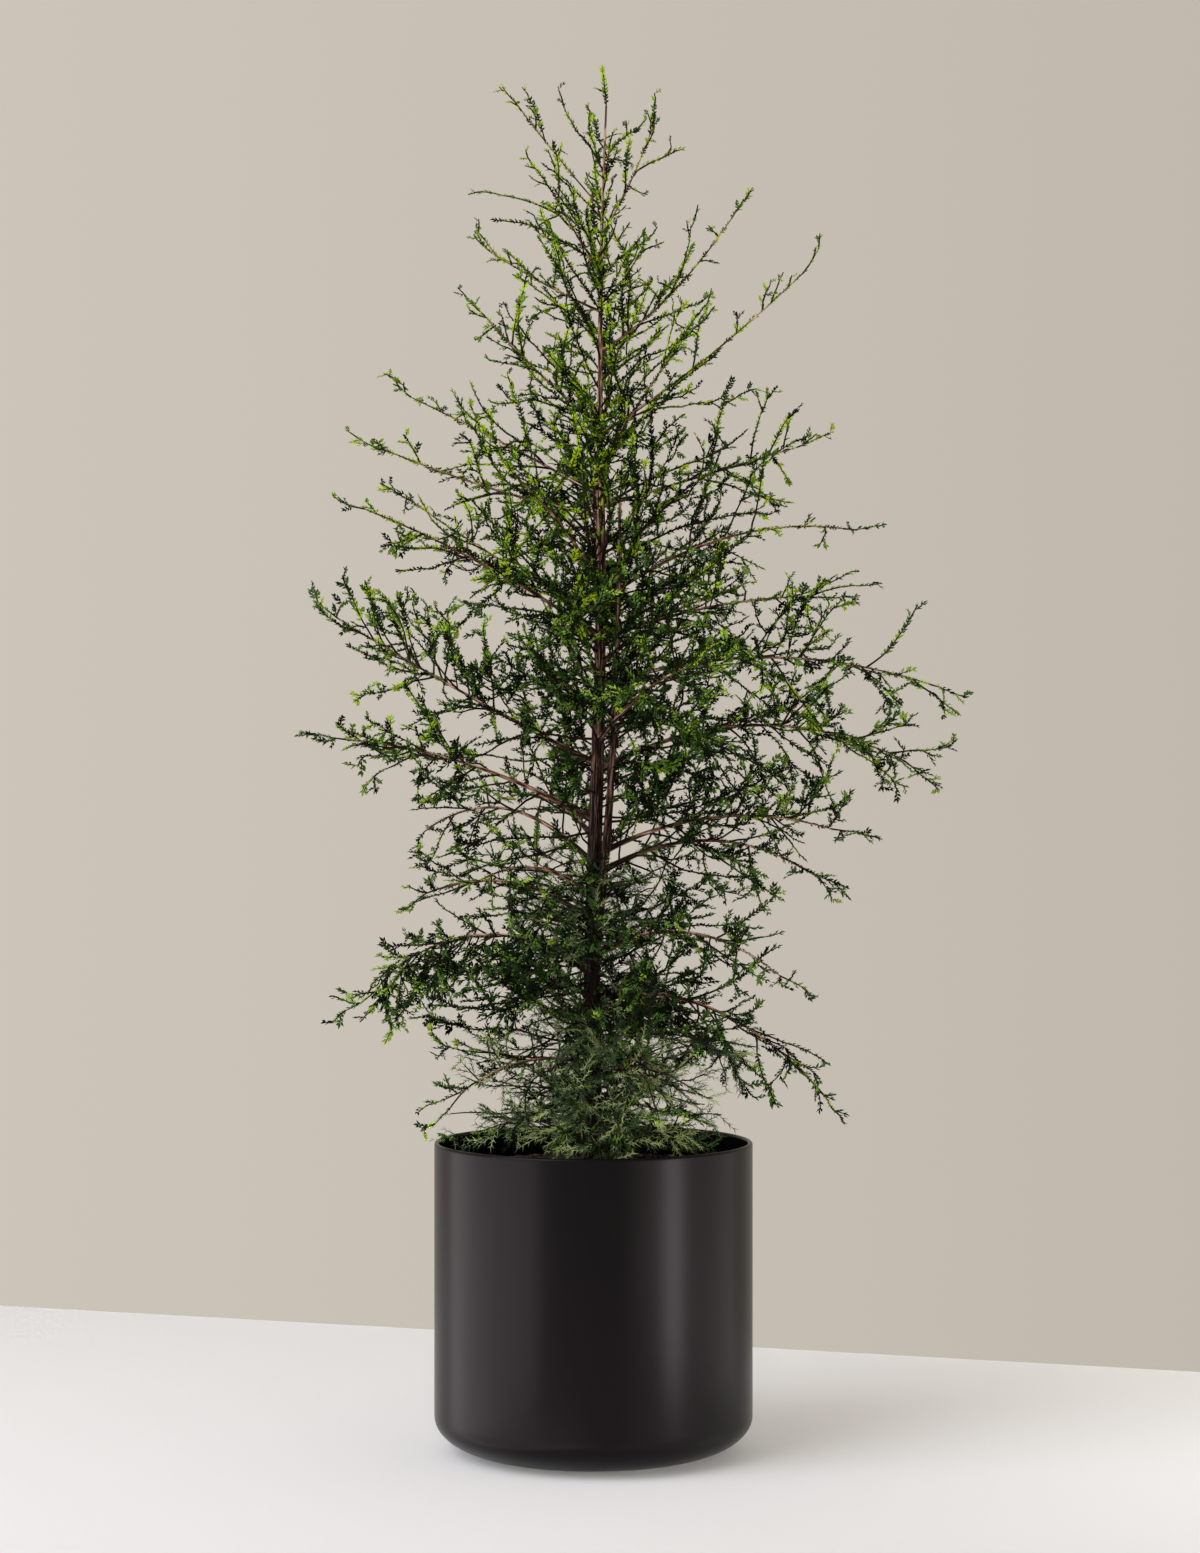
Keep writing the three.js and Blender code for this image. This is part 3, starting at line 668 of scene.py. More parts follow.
# %% The limbs
# name, leaves the trunk at, bearing, reach, climb, arch, share that is bare, longest sprigs
FRONT_VIEW_LIMBS = [
    ("left_01", 484, 215, 248, -58, 34, 0, 136),
    ("left_02", 600, 150, 342, -34, 60, 0, 148),
    ("left_03", 664, 222, 314, 25, 42, 0, 148),
    ("left_04", 735, 140, 334, 11, 66, 0.34, 153),
    ("left_05", 790, 194, 364, 104, 26, 0.36, 159),
    ("left_06", 862, 170, 375, 213, -6, 0.4, 159),
    ("left_07", 1023, 212, 376, 161, 14, 0.3, 159),
    ("left_08", 1048, 144, 344, 189, -8, 0, 153),
    ("left_09", 1174, 194, 313, 96, -10, 0.32, 168),
    ("left_10", 1199, 152, 317, 161, 4, 0, 159),
    ("left_11", 1287, 218, 213, 163, -10, 0, 148),
    ("left_12", 1432, 166, 179, 110, -6, 0, 148),
    ("left_13", 1560, 190, 126, 165, -4, 0, 153),
    ("right_01", 482, 340, 143, -44, 26, 0, 114),
    ("right_02", 565, 20, 354, -171, 64, 0.3, 168),
    ("right_03", 618, 322, 338, -51, 60, 0.34, 148),
    ("right_04", 721, 36, 407, -32, 58, 0, 159),
    ("right_05", 746, 350, 353, 15, 44, 0.34, 159),
    ("right_06", 853, 10, 456, -15, 66, 0.36, 168),
    ("right_07", 960, 350, 474, -19, 44, 0.36, 168),
    ("right_08", 1018, 36, 424, 65, 20, 0, 159),
    ("right_09", 1066, 336, 386, 71, 44, 0.34, 168),
    ("right_10", 1186, 22, 334, 101, 0, 0.34, 159),
    ("right_11", 1277, 348, 308, 234, -14, 0.34, 159),
    ("right_12", 1382, 34, 253, 237, -26, 0, 148),
    ("right_13", 1530, 350, 94, 185, -18, 0, 148),
]
# Height and bearing of the limbs that point to and from the viewer and give the crown its depth
DEPTH_LIMBS = [
    (458, 298), (540, 72), (694, 242), (768, 112), (890, 292), (986, 54),
    (1090, 248), (1148, 96), (1238, 298), (1335, 72), (1482, 242),
]
DEPTH_BARE = 0.34
DEPTH_SPRIG = 158
# How far the crown reaches from its axis at three heights
CROWN_HEIGHTS = [450, 850, 1482]
CROWN_REACHES = [240, 400, 150]


def front_limb(row):
    keys = ("name", "leaves", "bearing", "reach", "climb", "arch", "bare", "sprig")
    return dict(zip(keys, row))


def depth_limb(index, leaves, bearing):
    """A limb that reaches as far as the crown does at its height, drooping low down and rising above."""
    reach = float(np.interp(leaves, CROWN_HEIGHTS, CROWN_REACHES))
    share = (leaves - CROWN_HEIGHTS[0]) / (CROWN_HEIGHTS[2] - CROWN_HEIGHTS[0])
    return {
        "name": f"depth_{index + 1:02d}",
        "leaves": leaves,
        "bearing": bearing,
        "reach": reach,
        "climb": reach * (share - 0.2),
        "arch": 50 - 58 * share,
        "bare": DEPTH_BARE if index % 3 == 1 else 0,
        "sprig": DEPTH_SPRIG,
    }


second_stem = {
    **front_limb(("second_stem", 640, 318, 46, 630, 0, 0.62, 110)),
    "knee": (0.85, 0.18),
    "radius": 6.2,
}
leader = {"name": "leader", "leaves": TRUNK_TOP, "bare": 0, "sprig": 56}
limbs = [front_limb(row) for row in FRONT_VIEW_LIMBS]
limbs += [depth_limb(index, *row) for index, row in enumerate(DEPTH_LIMBS)]
limbs += [second_stem, leader]
print("limbs:", len(limbs))

# %% A limb's path and radius
LIMB_TIP_RADIUS = 1.5
LIMB_BASE_RADIUS = 1.7
LIMB_RADIUS_PER_LENGTH = 0.0075
THICKEST_LIMB = 0.5  # as a share of the trunk's radius there
COLLAR = 1.6
COLLAR_FADE = 16
LAST_SPRIG = 54
LAST_SPRIG_SUNK = 3
FIRST_SEED = 40


def limb_path(limb):
    root = trunk_centre(limb["leaves"])
    if limb["name"] == "leader":
        return curve(root, root + (0, 0, 30), TREE_TOP)
    turn = math.radians(limb["bearing"])
    out = np.array([math.cos(turn), math.sin(turn), 0]) * limb["reach"]
    tip = out + (0, 0, limb["leaves"] + limb["climb"])
    across, up = limb.get("knee", (0.5, 0.5))
    bend = between(root, tip, np.array([across, across, up])) + (0, 0, 2 * limb["arch"])
    return curve(root, bend, tip)


def limb_radius(limb):
    """The radius along a limb, which tapers to its tip and widens to a collar at the trunk."""
    thickest = THICKEST_LIMB * trunk_radius(limb["leaves"])
    by_length = min(LIMB_BASE_RADIUS + LIMB_RADIUS_PER_LENGTH * limb["length"], thickest)
    base = limb.get("radius", by_length)
    return lambda s: between(base, LIMB_TIP_RADIUS, s) + base * (COLLAR - 1) * math.exp(-COLLAR_FADE * s)


for index, limb in enumerate(limbs):
    limb["seed"] = FIRST_SEED + index
    limb["path"] = limb_path(limb)
    limb["length"] = float(np.linalg.norm(limb["path"](1) - limb["path"](0)))
    limb["radius_at"] = limb_radius(limb)
    # The shares of the limb between which it bears sprigs
    limb["stem"] = (limb["bare"], 1 - (LAST_SPRIG - LAST_SPRIG_SUNK) / limb["length"])

# %% [markdown]
# ## Trunk and boughs with their bark
#
# A limb is a tube along a path, so Geometry Nodes make it: a chain of points becomes a curve, takes its
# thickness, and a ring is swept along it. Before the sweep the tree notes how far along the curve and how
# far round the ring each point is. The bark's strips are a noise over those two, stretched twelve times
# along the limb, which lifts the surface and later colours it. The same tree makes the thin twigs, with
# fewer sides and no relief.

# %% The tree for tubes
STRIP_WIDTH = 2.4
STRIP_LENGTH = 12  # a strip of bark is so many times as long as it is wide

tubes, tubes_in = new_tree(
    "tubes_with_bark",
    {"Sides": "Int", "Relief": "Float", "Strip width": "Float", "Finish": "Material"},
)
thickness = add_node(tubes, "GeometryNodeInputNamedAttribute", inputs={"Name": "thickness"}).outputs[0]
chains = add_node(tubes, "GeometryNodeMeshToCurve", inputs={"Mesh": tubes_in["Geometry"]})
along = add_node(tubes, "GeometryNodeSplineParameter").outputs["Length"]
stored_along = add_node(
    tubes,
    "GeometryNodeStoreNamedAttribute",
    {"data_type": "FLOAT", "domain": "POINT"},
    {"Geometry": chains.outputs["Curve"], "Name": "along", "Value": along},
)
ring = add_node(
    tubes, "GeometryNodeCurvePrimitiveCircle", inputs={"Resolution": tubes_in["Sides"], "Radius": 1.0}
)
around = add_node(tubes, "GeometryNodeInputPosition").outputs[0]
stored_ring = add_node(
    tubes,
    "GeometryNodeStoreNamedAttribute",
    {"data_type": "FLOAT_VECTOR", "domain": "POINT"},
    {"Geometry": ring.outputs["Curve"], "Name": "around", "Value": around},
)
swept = add_node(
    tubes,
    "GeometryNodeCurveToMesh",
    inputs={
        "Curve": stored_along.outputs["Geometry"],
        "Profile Curve": stored_ring.outputs["Geometry"],
        "Scale": thickness,
        "Fill Caps": True,
    },
)

# %% Relief of the bark, in the same tree
ring_place = add_node(
    tubes, "GeometryNodeInputNamedAttribute", {"data_type": "FLOAT_VECTOR"}, {"Name": "around"}
).outputs[0]
along_place = add_node(tubes, "GeometryNodeInputNamedAttribute", inputs={"Name": "along"}).outputs[0]
way_round = add_node(
    tubes, "ShaderNodeVectorMath", {"operation": "SCALE"}, {0: ring_place, "Scale": thickness}
)
squeezed = add_node(tubes, "ShaderNodeMath", {"operation": "DIVIDE"}, {0: along_place, 1: STRIP_LENGTH})
way_along = add_node(tubes, "ShaderNodeCombineXYZ", inputs={"Z": squeezed.outputs[0]})
run = add_node(
    tubes,
    "ShaderNodeVectorMath",
    {"operation": "ADD"},
    {0: way_round.outputs[0], 1: way_along.outputs[0]},
)
run_mm = add_node(
    tubes, "ShaderNodeVectorMath", {"operation": "SCALE"}, {0: run.outputs[0], "Scale": METRE}
)
with_run = add_node(
    tubes,
    "GeometryNodeStoreNamedAttribute",
    {"data_type": "FLOAT_VECTOR", "domain": "POINT"},
    {"Geometry": swept.outputs["Mesh"], "Name": "bark_run", "Value": run_mm.outputs[0]},
)
per_strip = add_node(tubes, "ShaderNodeMath", {"operation": "DIVIDE"}, {0: 1.0, 1: tubes_in["Strip width"]})
ridges = add_node(
    tubes,
    "ShaderNodeTexNoise",
    inputs={"Vector": run_mm.outputs[0], "Scale": per_strip.outputs[0], "Detail": 2.0},
)
centred = add_node(tubes, "ShaderNodeMath", {"operation": "SUBTRACT"}, {0: ridges.outputs[0], 1: 0.5})
relief = add_node(
    tubes, "ShaderNodeMath", {"operation": "MULTIPLY"}, {0: centred.outputs[0], 1: tubes_in["Relief"]}
)
# Thin wood has fine bark, so the relief grows with the limb's own thickness
scaled = add_node(tubes, "ShaderNodeMath", {"operation": "MULTIPLY"}, {0: relief.outputs[0], 1: thickness})
lift = add_node(
    tubes,
    "ShaderNodeVectorMath",
    {"operation": "SCALE"},
    {0: add_node(tubes, "GeometryNodeInputNormal").outputs[0], "Scale": scaled.outputs[0]},
)
raised = add_node(
    tubes,
    "GeometryNodeSetPosition",
    inputs={"Geometry": with_run.outputs["Geometry"], "Offset": lift.outputs[0]},
)
end_tree(tubes, raised.outputs["Geometry"], tubes_in["Finish"])


# %% Sweeping a set of chains
def chains_object(name, lines):
    """A mesh of separate chains. Each line is (points, radii), both in millimetres."""
    points = np.concatenate([points for points, _ in lines]) * MM
    radii = np.concatenate([radii for _, radii in lines]) * MM
    edges, start = [], 0
    for line, _ in lines:
        edges += [(start + i, start + i + 1) for i in range(len(line) - 1)]
        start += len(line)
    mesh = bpy.data.meshes.new(name)
    mesh.from_pydata([tuple(p) for p in points], edges, [])
    mesh.attributes.new("thickness", "FLOAT", "POINT").data.foreach_set("value", radii.astype(np.float32))
    made = bpy.data.objects.new(name, mesh)
    bpy.context.scene.collection.objects.link(made)
    return made


def tubes_along(name, lines, material, sides, relief=0.0, smooth=False):
    """One piece of tubes. The relief is given as a share of each tube's own radius."""
    values = {"Sides": sides, "Relief": relief, "Strip width": STRIP_WIDTH, "Finish": material}
    made = grow(name, chains_object(name + "_chains", lines), tubes, values)
    if smooth:
        made.data.shade_smooth()
    return made


# %% Trunk and limbs
TRUNK_SIDES = 40
TRUNK_RELIEF = 0.26
LIMB_SIDES = 9
LIMB_RELIEF = 0.22
LIMB_STEP = 7
# The photograph shows the upper trunk slimmer than the plan's tube, which a maker could still print
SLIM_HEIGHTS = [1150, 1350]
SLIM_SHARES = [1.0, 0.68]

trunk_heights = np.concatenate([np.arange(TRUNK_FOOT, 460, 3), np.arange(460, TRUNK_TOP, 5), [TRUNK_TOP]])
trunk_radii = np.array([trunk_radius(z) for z in trunk_heights])
trunk_radii *= np.interp(trunk_heights, SLIM_HEIGHTS, SLIM_SHARES)
trunk_line = (np.array([trunk_centre(z) for z in trunk_heights]), trunk_radii)


def limb_line(limb):
    """Points and radii along a limb, from inside the trunk to where its last sprig begins."""
    shares = np.linspace(0.0, limb["stem"][1], max(4, round(limb["length"] / LIMB_STEP)))
    points = np.array([limb["path"](s) for s in shares])
    radii = np.array([limb["radius_at"](s) for s in shares])
    # The photograph's limbs are slimmer than the plan's, and its second stem is stouter at its base
    if limb["name"] == "second_stem":
        return points, radii * (1.35 - 0.45 * shares)
    return points, radii * (0.8 - 0.4 * shares)


bough_nodes = sorted(name for name in frame["nodes"] if name.endswith("_bough"))
trunk = tubes_along("trunk_bark", [trunk_line], fibrous_bark, TRUNK_SIDES, TRUNK_RELIEF, smooth=True)
hand_over(trunk, ["trunk"])
limb_lines = [limb_line(limb) for limb in limbs]
boughs = tubes_along("bough_bark", limb_lines, fibrous_bark, LIMB_SIDES, LIMB_RELIEF, smooth=True)
hand_over(boughs, bough_nodes)

# %% [markdown]
# ## Sprigs, twigs and sprays
#
# The plan sets sprigs along the foliage-bearing part of each limb, one every 29 mm, turned by 137.5
# degrees from one to the next, which is how a cedar sets out its shoots. In the plan a sprig is one flat
# fan. Here it grows into what the fan stands for: a thin stalk with side twigs left and right, and on
# those the sprays of leaves. The stalk ends near the fan's rim.

# %% The plan's sprigs
SPRIG_SPACING = 29
SPRIG_ANGLE = 56
SPRIG_SHORTEST = 50
TURN = 137.5
FLATTEN = 0.62
STALK = 0.24
FINGERS = 7
MIDDLE_FINGER = 3
MIDDLE_REACH = 0.76
INNER_SEEDS = 100  # added to a limb's seed for a second set of sprigs


def sprig_direction(along, turn, angle, lift):
    side = np.array([-along[1], along[0], 0])
    if np.linalg.norm(side) < 0.3:
        side = np.array([1.0, 0, 0]) - along * along[0]
    side = unit(side)
    up = np.cross(along, side)
    away = unit(side * math.cos(turn) + up * (FLATTEN * math.sin(turn)))
    return unit(along * math.cos(angle) + away * math.sin(angle) + (0, 0, lift))


def sprig_plans(limb, seed, start, spacing=SPRIG_SPACING, droop=0.0):
    """Root, direction, length and roll of each sprig on a limb, drawn in the plan's own order."""
    draw = seeded(seed)

    def stem(share):
        return limb["path"](between(start, limb["stem"][1], share))

    def fingers():
        return [0.7 + 0.4 * draw() for _ in range(FINGERS)]

    stem_length = float(np.linalg.norm(stem(1) - stem(0)))
    at_top = limb["name"] == "leader"
    first = (6 if start > 0 or at_top else trunk_radius(limb["leaves"]) + 12) / stem_length
    count = max(3, math.floor(stem_length * (1 - first) / spacing + 0.5))
    lift = min(0.3, max(-0.1, (stem(1)[2] - 700) / 2200)) - droop
    first_turn = draw() * 2 * math.pi
    tip_way = direction_at(stem, 1)
    last = {"root": stem(1) - tip_way * LAST_SPRIG_SUNK, "along": tip_way, "length": LAST_SPRIG, "roll": 0}
    plans = [{**last, "fingers": fingers(), "share": 1.0}]
    for i in range(count):
        share = first + (0.97 - first) * (i + 0.3 + 0.4 * draw()) / count
        angle = math.radians(SPRIG_ANGLE * (1 - 0.35 * share) + 14 * (draw() - 0.5))
        turn = first_turn + math.radians(TURN) * i
        length = max(SPRIG_SHORTEST, limb["sprig"] * (1 - 0.5 * share) * (0.8 + 0.4 * draw()))
        along = sprig_direction(direction_at(stem, share), turn, angle, lift)
        plan = {"root": stem(share), "along": along, "length": length, "roll": 1.6 * (draw() - 0.5)}
        plans.append({**plan, "fingers": fingers(), "share": share})
    return plans


def fan_frame(along, roll):
    """The fan's two other directions: across it, and up from it, turned about the sprig by its roll."""
    steady = np.array([0, 1.0, 0]) if abs(along[2]) > 0.85 else np.array([0, 0, 1.0])
    across = unit(np.cross(steady, along))
    up = np.cross(along, across)
    return (
        across * math.cos(roll) + up * math.sin(roll),
        up * math.cos(roll) - across * math.sin(roll),
    )


# %% Twigs and sprays of one sprig
TWIG_SPACING = 12
TWIG_STEP = 10.5
TWIG_WANDER = 0.24
TWIG_LIFT = 0.05
TWIG_SHORTEST = 14
TWIGS_TOP = 1722
STALK_STEP = 13
STALK_WANDER = 0.12
STALK_LIFT = 0.01
STALK_SHORT_BY = 12  # how far a stalk stays short of the fan's rim
BARE_BELOW = 1200  # stalks lower than this are bare for longer
SPRAY_LENGTH = (11, 20)
OVERLAP = 1.15  # a spray that lies along a twig is so many times as long as its step
STALK_OVERLAP = 1.2
SPRAY_HEIGHTS = [850, 1300, 1550]
SPRAY_SIZES = [1, 0.75, 0.58]
stalks, twigs, limb_ends = [], [], []


def is_above_planter(point):
    """Twigs may hang into the planter's mouth, but not onto the compost or the lip."""
    distance = math.hypot(point[0], point[1])
    below = SOIL_CREST if distance < POT_RADIUS - 20 else POT_HEIGHT
    return distance > POT_RADIUS + 12 or point[2] > below + 6


def clears_planter(points):
    return is_above_planter(points[len(points) // 2]) and is_above_planter(points[-1])


def wiry_path(root, way, length, dice, step, wander, lift):
    """Points of a thin twig, which wanders at every step and turns up a little towards its tip."""
    count = max(2, round(length / step))
    points, heading = [np.array(root)], np.array(way)
    for _ in range(count):
        heading = unit(heading + wander * np.array([dice.gauss(0, 1) for _ in range(3)]) + (0, 0, lift))
        points.append(points[-1] + heading * (length / count))
    return np.array(points)


def place_on(points, share):
    """The point at that share of a chain, and the chain's direction there."""
    spot = min(share, 0.999) * (len(points) - 1)
    before = int(spot)
    step = points[before + 1] - points[before]
    return points[before] + step * (spot - before), unit(step)


def grow_twig(root, way, length, dice, age, stalk=None, stays=False):
    """A side twig. Each step of it is clothed by one spray, and bears another that stands off to a side.

    age is how near to the tip of its limb the twig grows, from about 0 to 1.
    """
    points = wiry_path(root, way, length, dice, TWIG_STEP, TWIG_WANDER, TWIG_LIFT)
    if not clears_planter(points) or points[-1][2] > TWIGS_TOP:
        return
    facing = unit(np.array([dice.gauss(0, 1), dice.gauss(0, 1), 1.2]))
    out = unit(np.cross(facing, way))
    tone = dice.gauss(0, 0.07)
    # Sprays are shorter near the top
    shortened = float(np.interp(points[0][2], SPRAY_HEIGHTS, SPRAY_SIZES))
    rows = []
    for i, (start, end) in enumerate(zip(points[:-1], points[1:])):
        heading = unit(end - start)
        size = OVERLAP * shortened * np.linalg.norm(end - start)
        rows.append((start, heading, facing, size, age, tone, False))
        side = (out if i % 2 else -out) * dice.uniform(0.6, 1.4)
        along = unit(heading + side + facing * dice.gauss(0, 0.4))
        size = shortened * dice.uniform(*SPRAY_LENGTH)
        rows.append((between(start, end, dice.random()), along, facing, size, age, tone, True))
    line = (points, np.linspace(1.25, 0.75, len(points)))
    twigs.append({"line": line, "sprays": rows, "stalk": stalk, "stays": stays})


def grow_sprig(plan, dice, age):
    """A stalk along the middle of the plan's fan, with side twigs left and right of it."""
    rim = (STALK + MIDDLE_REACH * plan["fingers"][MIDDLE_FINGER]) * plan["length"]
    reach = rim - STALK_SHORT_BY
    across, up = fan_frame(plan["along"], plan["roll"])
    points = wiry_path(plan["root"], plan["along"], reach, dice, STALK_STEP, STALK_WANDER, STALK_LIFT)
    if not clears_planter(points):
        return
    tone = dice.gauss(0, 0.055)
    clothing = []
    bare_steps = round((0.3 if points[0][2] < BARE_BELOW else 0.1) * len(points))
    for start, end in list(zip(points[:-1], points[1:]))[bare_steps:]:
        size = STALK_OVERLAP * np.linalg.norm(end - start)
        clothing.append((start, unit(end - start), up, size, age + 0.1, tone, False))
    line = (points, np.linspace(1.5, 0.6, len(points)) * (0.7 + reach / 450))
    stalks.append({"line": line, "sprays": clothing})
    stalk = len(stalks) - 1
    at_tip = plan["share"] == 1
    count = max(2, round(reach * (0.97 - STALK * 0.6) / TWIG_SPACING))
    for i in range(count):
        share = between(STALK * 0.6, 0.97, (i + dice.uniform(0.1, 0.9)) / count)
        root, forward = place_on(points, share)
        side = across if i % 2 else -across
        spread = math.radians(between(62, 34, share) + dice.uniform(-16, 16))
        tilt = dice.gauss(0, 0.7)
        tilted = side * math.cos(tilt) + up * math.sin(tilt)
        way = unit(forward * math.cos(spread) + tilted * math.sin(spread))
        length = max(TWIG_SHORTEST, plan["length"] * between(0.5, 0.2, share) * dice.uniform(0.5, 1.3))
        grow_twig(root, way, length, dice, age + 0.15 * share, stalk, stays=at_tip and i % 2 == 0)
    _, forward = place_on(points, 1)
    grow_twig(points[-1], forward, SPRAY_LENGTH[1], dice, age + 0.2, stalk, stays=at_tip)


# %% [markdown]
# Each limb bears the plan's own sprigs. Low limbs also bear a second set, which fills the inside of the
# crown, the outer part of a limb is clothed by sprays that lie along it, and small twigs leave it between
# the sprigs.

# %% What a limb bears besides the plan's sprigs
INNER_BELOW = 1400
INNER_START = 0.07
INNER_HEIGHTS = [480, 700, 1000, 1400]
INNER_SPACINGS = [12, 15, 22, 40]
INNER_DROOPS = [0.35, 0.3, 0.05, 0]
SKIRT_BELOW = 650
WELL_CLOTHED_ABOVE = 1150
STEM_TWIG_SPACING = 14
STEM_TWIG_LENGTH = (18, 50)
CLEAR_OF_TRUNK = 30


def grow_inner_sprigs(limb, dice):
    """A second set of sprigs, which starts near the trunk."""
    spacing = float(np.interp(limb["leaves"], INNER_HEIGHTS, INNER_SPACINGS))
    droop = float(np.interp(limb["leaves"], INNER_HEIGHTS, INNER_DROOPS))
    for plan in sprig_plans(limb, limb["seed"] + INNER_SEEDS, INNER_START, spacing, droop)[1:]:
        # The lowest limbs bear them all along, and hang over like a skirt
        if limb["leaves"] < SKIRT_BELOW or plan["share"] < dice.uniform(0.6, 1.2):
            grow_sprig(plan, dice, 0.45 * plan["share"])


def clothe_end(limb, dice):
    """Sprays along the outer half of a limb, or along more of it near the top."""
    start = 0.5 if limb["leaves"] < WELL_CLOTHED_ABOVE else 0.25
    shares = np.arange(start, limb["stem"][1], TWIG_STEP / limb["length"])
    steps = [limb["path"](share) for share in shares]
    clothing = []
    for before, after in zip(steps[:-1], steps[1:]):
        facing = unit(np.array([dice.gauss(0, 1), dice.gauss(0, 1), 1.2]))
        heading = unit(after - before)
        clothing.append((before, heading, facing, OVERLAP * TWIG_STEP, 0.5, dice.gauss(0, 0.07), False))
    limb_ends.append({"sprays": clothing})


def grow_stem_twigs(limb, dice):
    """Small twigs on the limb itself, along the part that bears sprigs."""
    start, end = limb["stem"]
    stem_length = limb["length"] * (end - start)
    for i in range(round(stem_length / STEM_TWIG_SPACING)):
        share = between(start, end, (i + 0.5) * STEM_TWIG_SPACING / stem_length)
        if share * limb["length"] < CLEAR_OF_TRUNK:
            continue
        forward = direction_at(limb["path"], share)
        turn = dice.uniform(0, WHOLE_TURN)
        way = sprig_direction(forward, turn, math.radians(dice.uniform(35, 65)), 0.1)
        length = dice.uniform(*STEM_TWIG_LENGTH)
        stays = share > 0.55 and i % 3 == 0
        grow_twig(limb["path"](share), way, length, dice, 0.1 + 0.5 * share, stays=stays)


# %% Growing the limbs' foliage
for limb in limbs:
    dice = random.Random(limb["seed"])
    for plan in sprig_plans(limb, limb["seed"], limb["stem"][0]):
        grow_sprig(plan, dice, 0.15 + 0.5 * plan["share"])
    if limb["leaves"] < INNER_BELOW and limb["name"] != "second_stem":
        grow_inner_sprigs(limb, dice)
    clothe_end(limb, dice)
    grow_stem_twigs(limb, dice)
print("on the limbs:", len(stalks), "stalks,", len(twigs), "twigs")

# %% [markdown]
# Three limbs of the photograph bear more shoots than the rule gives: a skirt hangs from the low one at the
# left. Short shoots leave the trunk itself between the limbs, each turned on from the one below. They
# stand closest at the foot, where they hang into the planter's mouth. Shorter ones still hide the trunk at
# its foot, where most are juvenile, in three more places and at the top.

# %% More shoots on three limbs
SHOOT_ROLL = 0.8
# The limb, how many, from and to what share of it, and how they climb
FULLER_LIMBS = [
    ("left_02", 16, 0.42, 0.97, -1.0),
    ("left_06", 11, 0.35, 0.8, 0.8),
    ("right_07", 5, 0.40, 0.58, 0.8),
]


def grow_shoot(root, along, length, dice, age, share):
    """A sprig that the plan doesn't have. With a share of 1, some of its twigs aren't thinned."""
    plan = {"root": root, "along": along, "length": length, "roll": dice.uniform(-SHOOT_ROLL, SHOOT_ROLL)}
    grow_sprig({**plan, "fingers": [1] * FINGERS, "share": share}, dice, age)


paths = {limb["name"]: limb["path"] for limb in limbs}
dice = random.Random(9)
for name, count, first, last, climb in FULLER_LIMBS:
    for i in range(count):
        share = between(first, last, i / count)
        away = (dice.gauss(0, 0.2), dice.gauss(0, 0.4), climb)
        along = unit(0.5 * direction_at(paths[name], share) + away)
        grow_shoot(paths[name](share), along, dice.uniform(60, 115), dice, 0.4, 1)

# %% Shoots on the trunk
CLIMB_HEIGHTS = [392, 470, 600, 1000, 1300, 1600]
LEAST_CLIMBS = [-0.15, -0.6, -0.2, 0.1, 0.5, 1.0]
MOST_CLIMBS = [0.3, 0.2, 0.4, 0.9, 1.4, 2.6]
LENGTH_HEIGHTS = [392, 560, 860, 1000, 1400, 1600]
LENGTHS = [200, 185, 190, 250, 170, 130]
# How many, from and to what height, least and most climb, shortest and longest
SHORT_SHOOTS = [
    (18, 384, 443, -0.06, 0.1, 100, 160),
    (48, 443, 600, -0.5, 0.3, 60, 96),
    (34, 630, 722, -0.3, 0.5, 60, 100),
    (30, 930, 1135, -0.2, 1.0, 60, 110),
    (14, 1195, 1310, 0.5, 1.6, 50, 80),
    (15, 1440, 1650, 1.2, 2.6, 45, 75),
]


def away_from_trunk(i, least, most, dice):
    """The direction of the i-th shoot of a row, each turned on from the one before."""
    turn = math.radians(TURN * i)
    return unit(np.array([math.cos(turn), math.sin(turn), dice.uniform(least, most)]))


dice = random.Random(3)
shoot_heights = np.concatenate(
    [np.arange(390, 700, 3.2), np.arange(700, 1140, 4.5), np.arange(1140, 1620, 12)]
)
for i, height in enumerate(shoot_heights):
    least, most = (float(np.interp(height, CLIMB_HEIGHTS, by)) for by in (LEAST_CLIMBS, MOST_CLIMBS))
    along = away_from_trunk(i, least, most, dice)
    length = float(np.interp(height, LENGTH_HEIGHTS, LENGTHS)) * dice.uniform(0.6, 1.15)
    grow_shoot(trunk_centre(height), along, length, dice, 0.0, 0)
for count, lowest, highest, least, most, shortest, longest in SHORT_SHOOTS:
    for i in range(count):
        height = between(lowest, highest, i / count)
        age = float(np.interp(height, [600, 1600], [0.1, 0.6]))
        along = away_from_trunk(i, least, most, dice)
        grow_shoot(trunk_centre(height), along, dice.uniform(shortest, longest), dice, age, 1)
all_sprays = sum(len(twig["sprays"]) for twig in twigs)
print("grown:", len(stalks), "stalks,", len(twigs), "twigs,", all_sprays, "sprays")
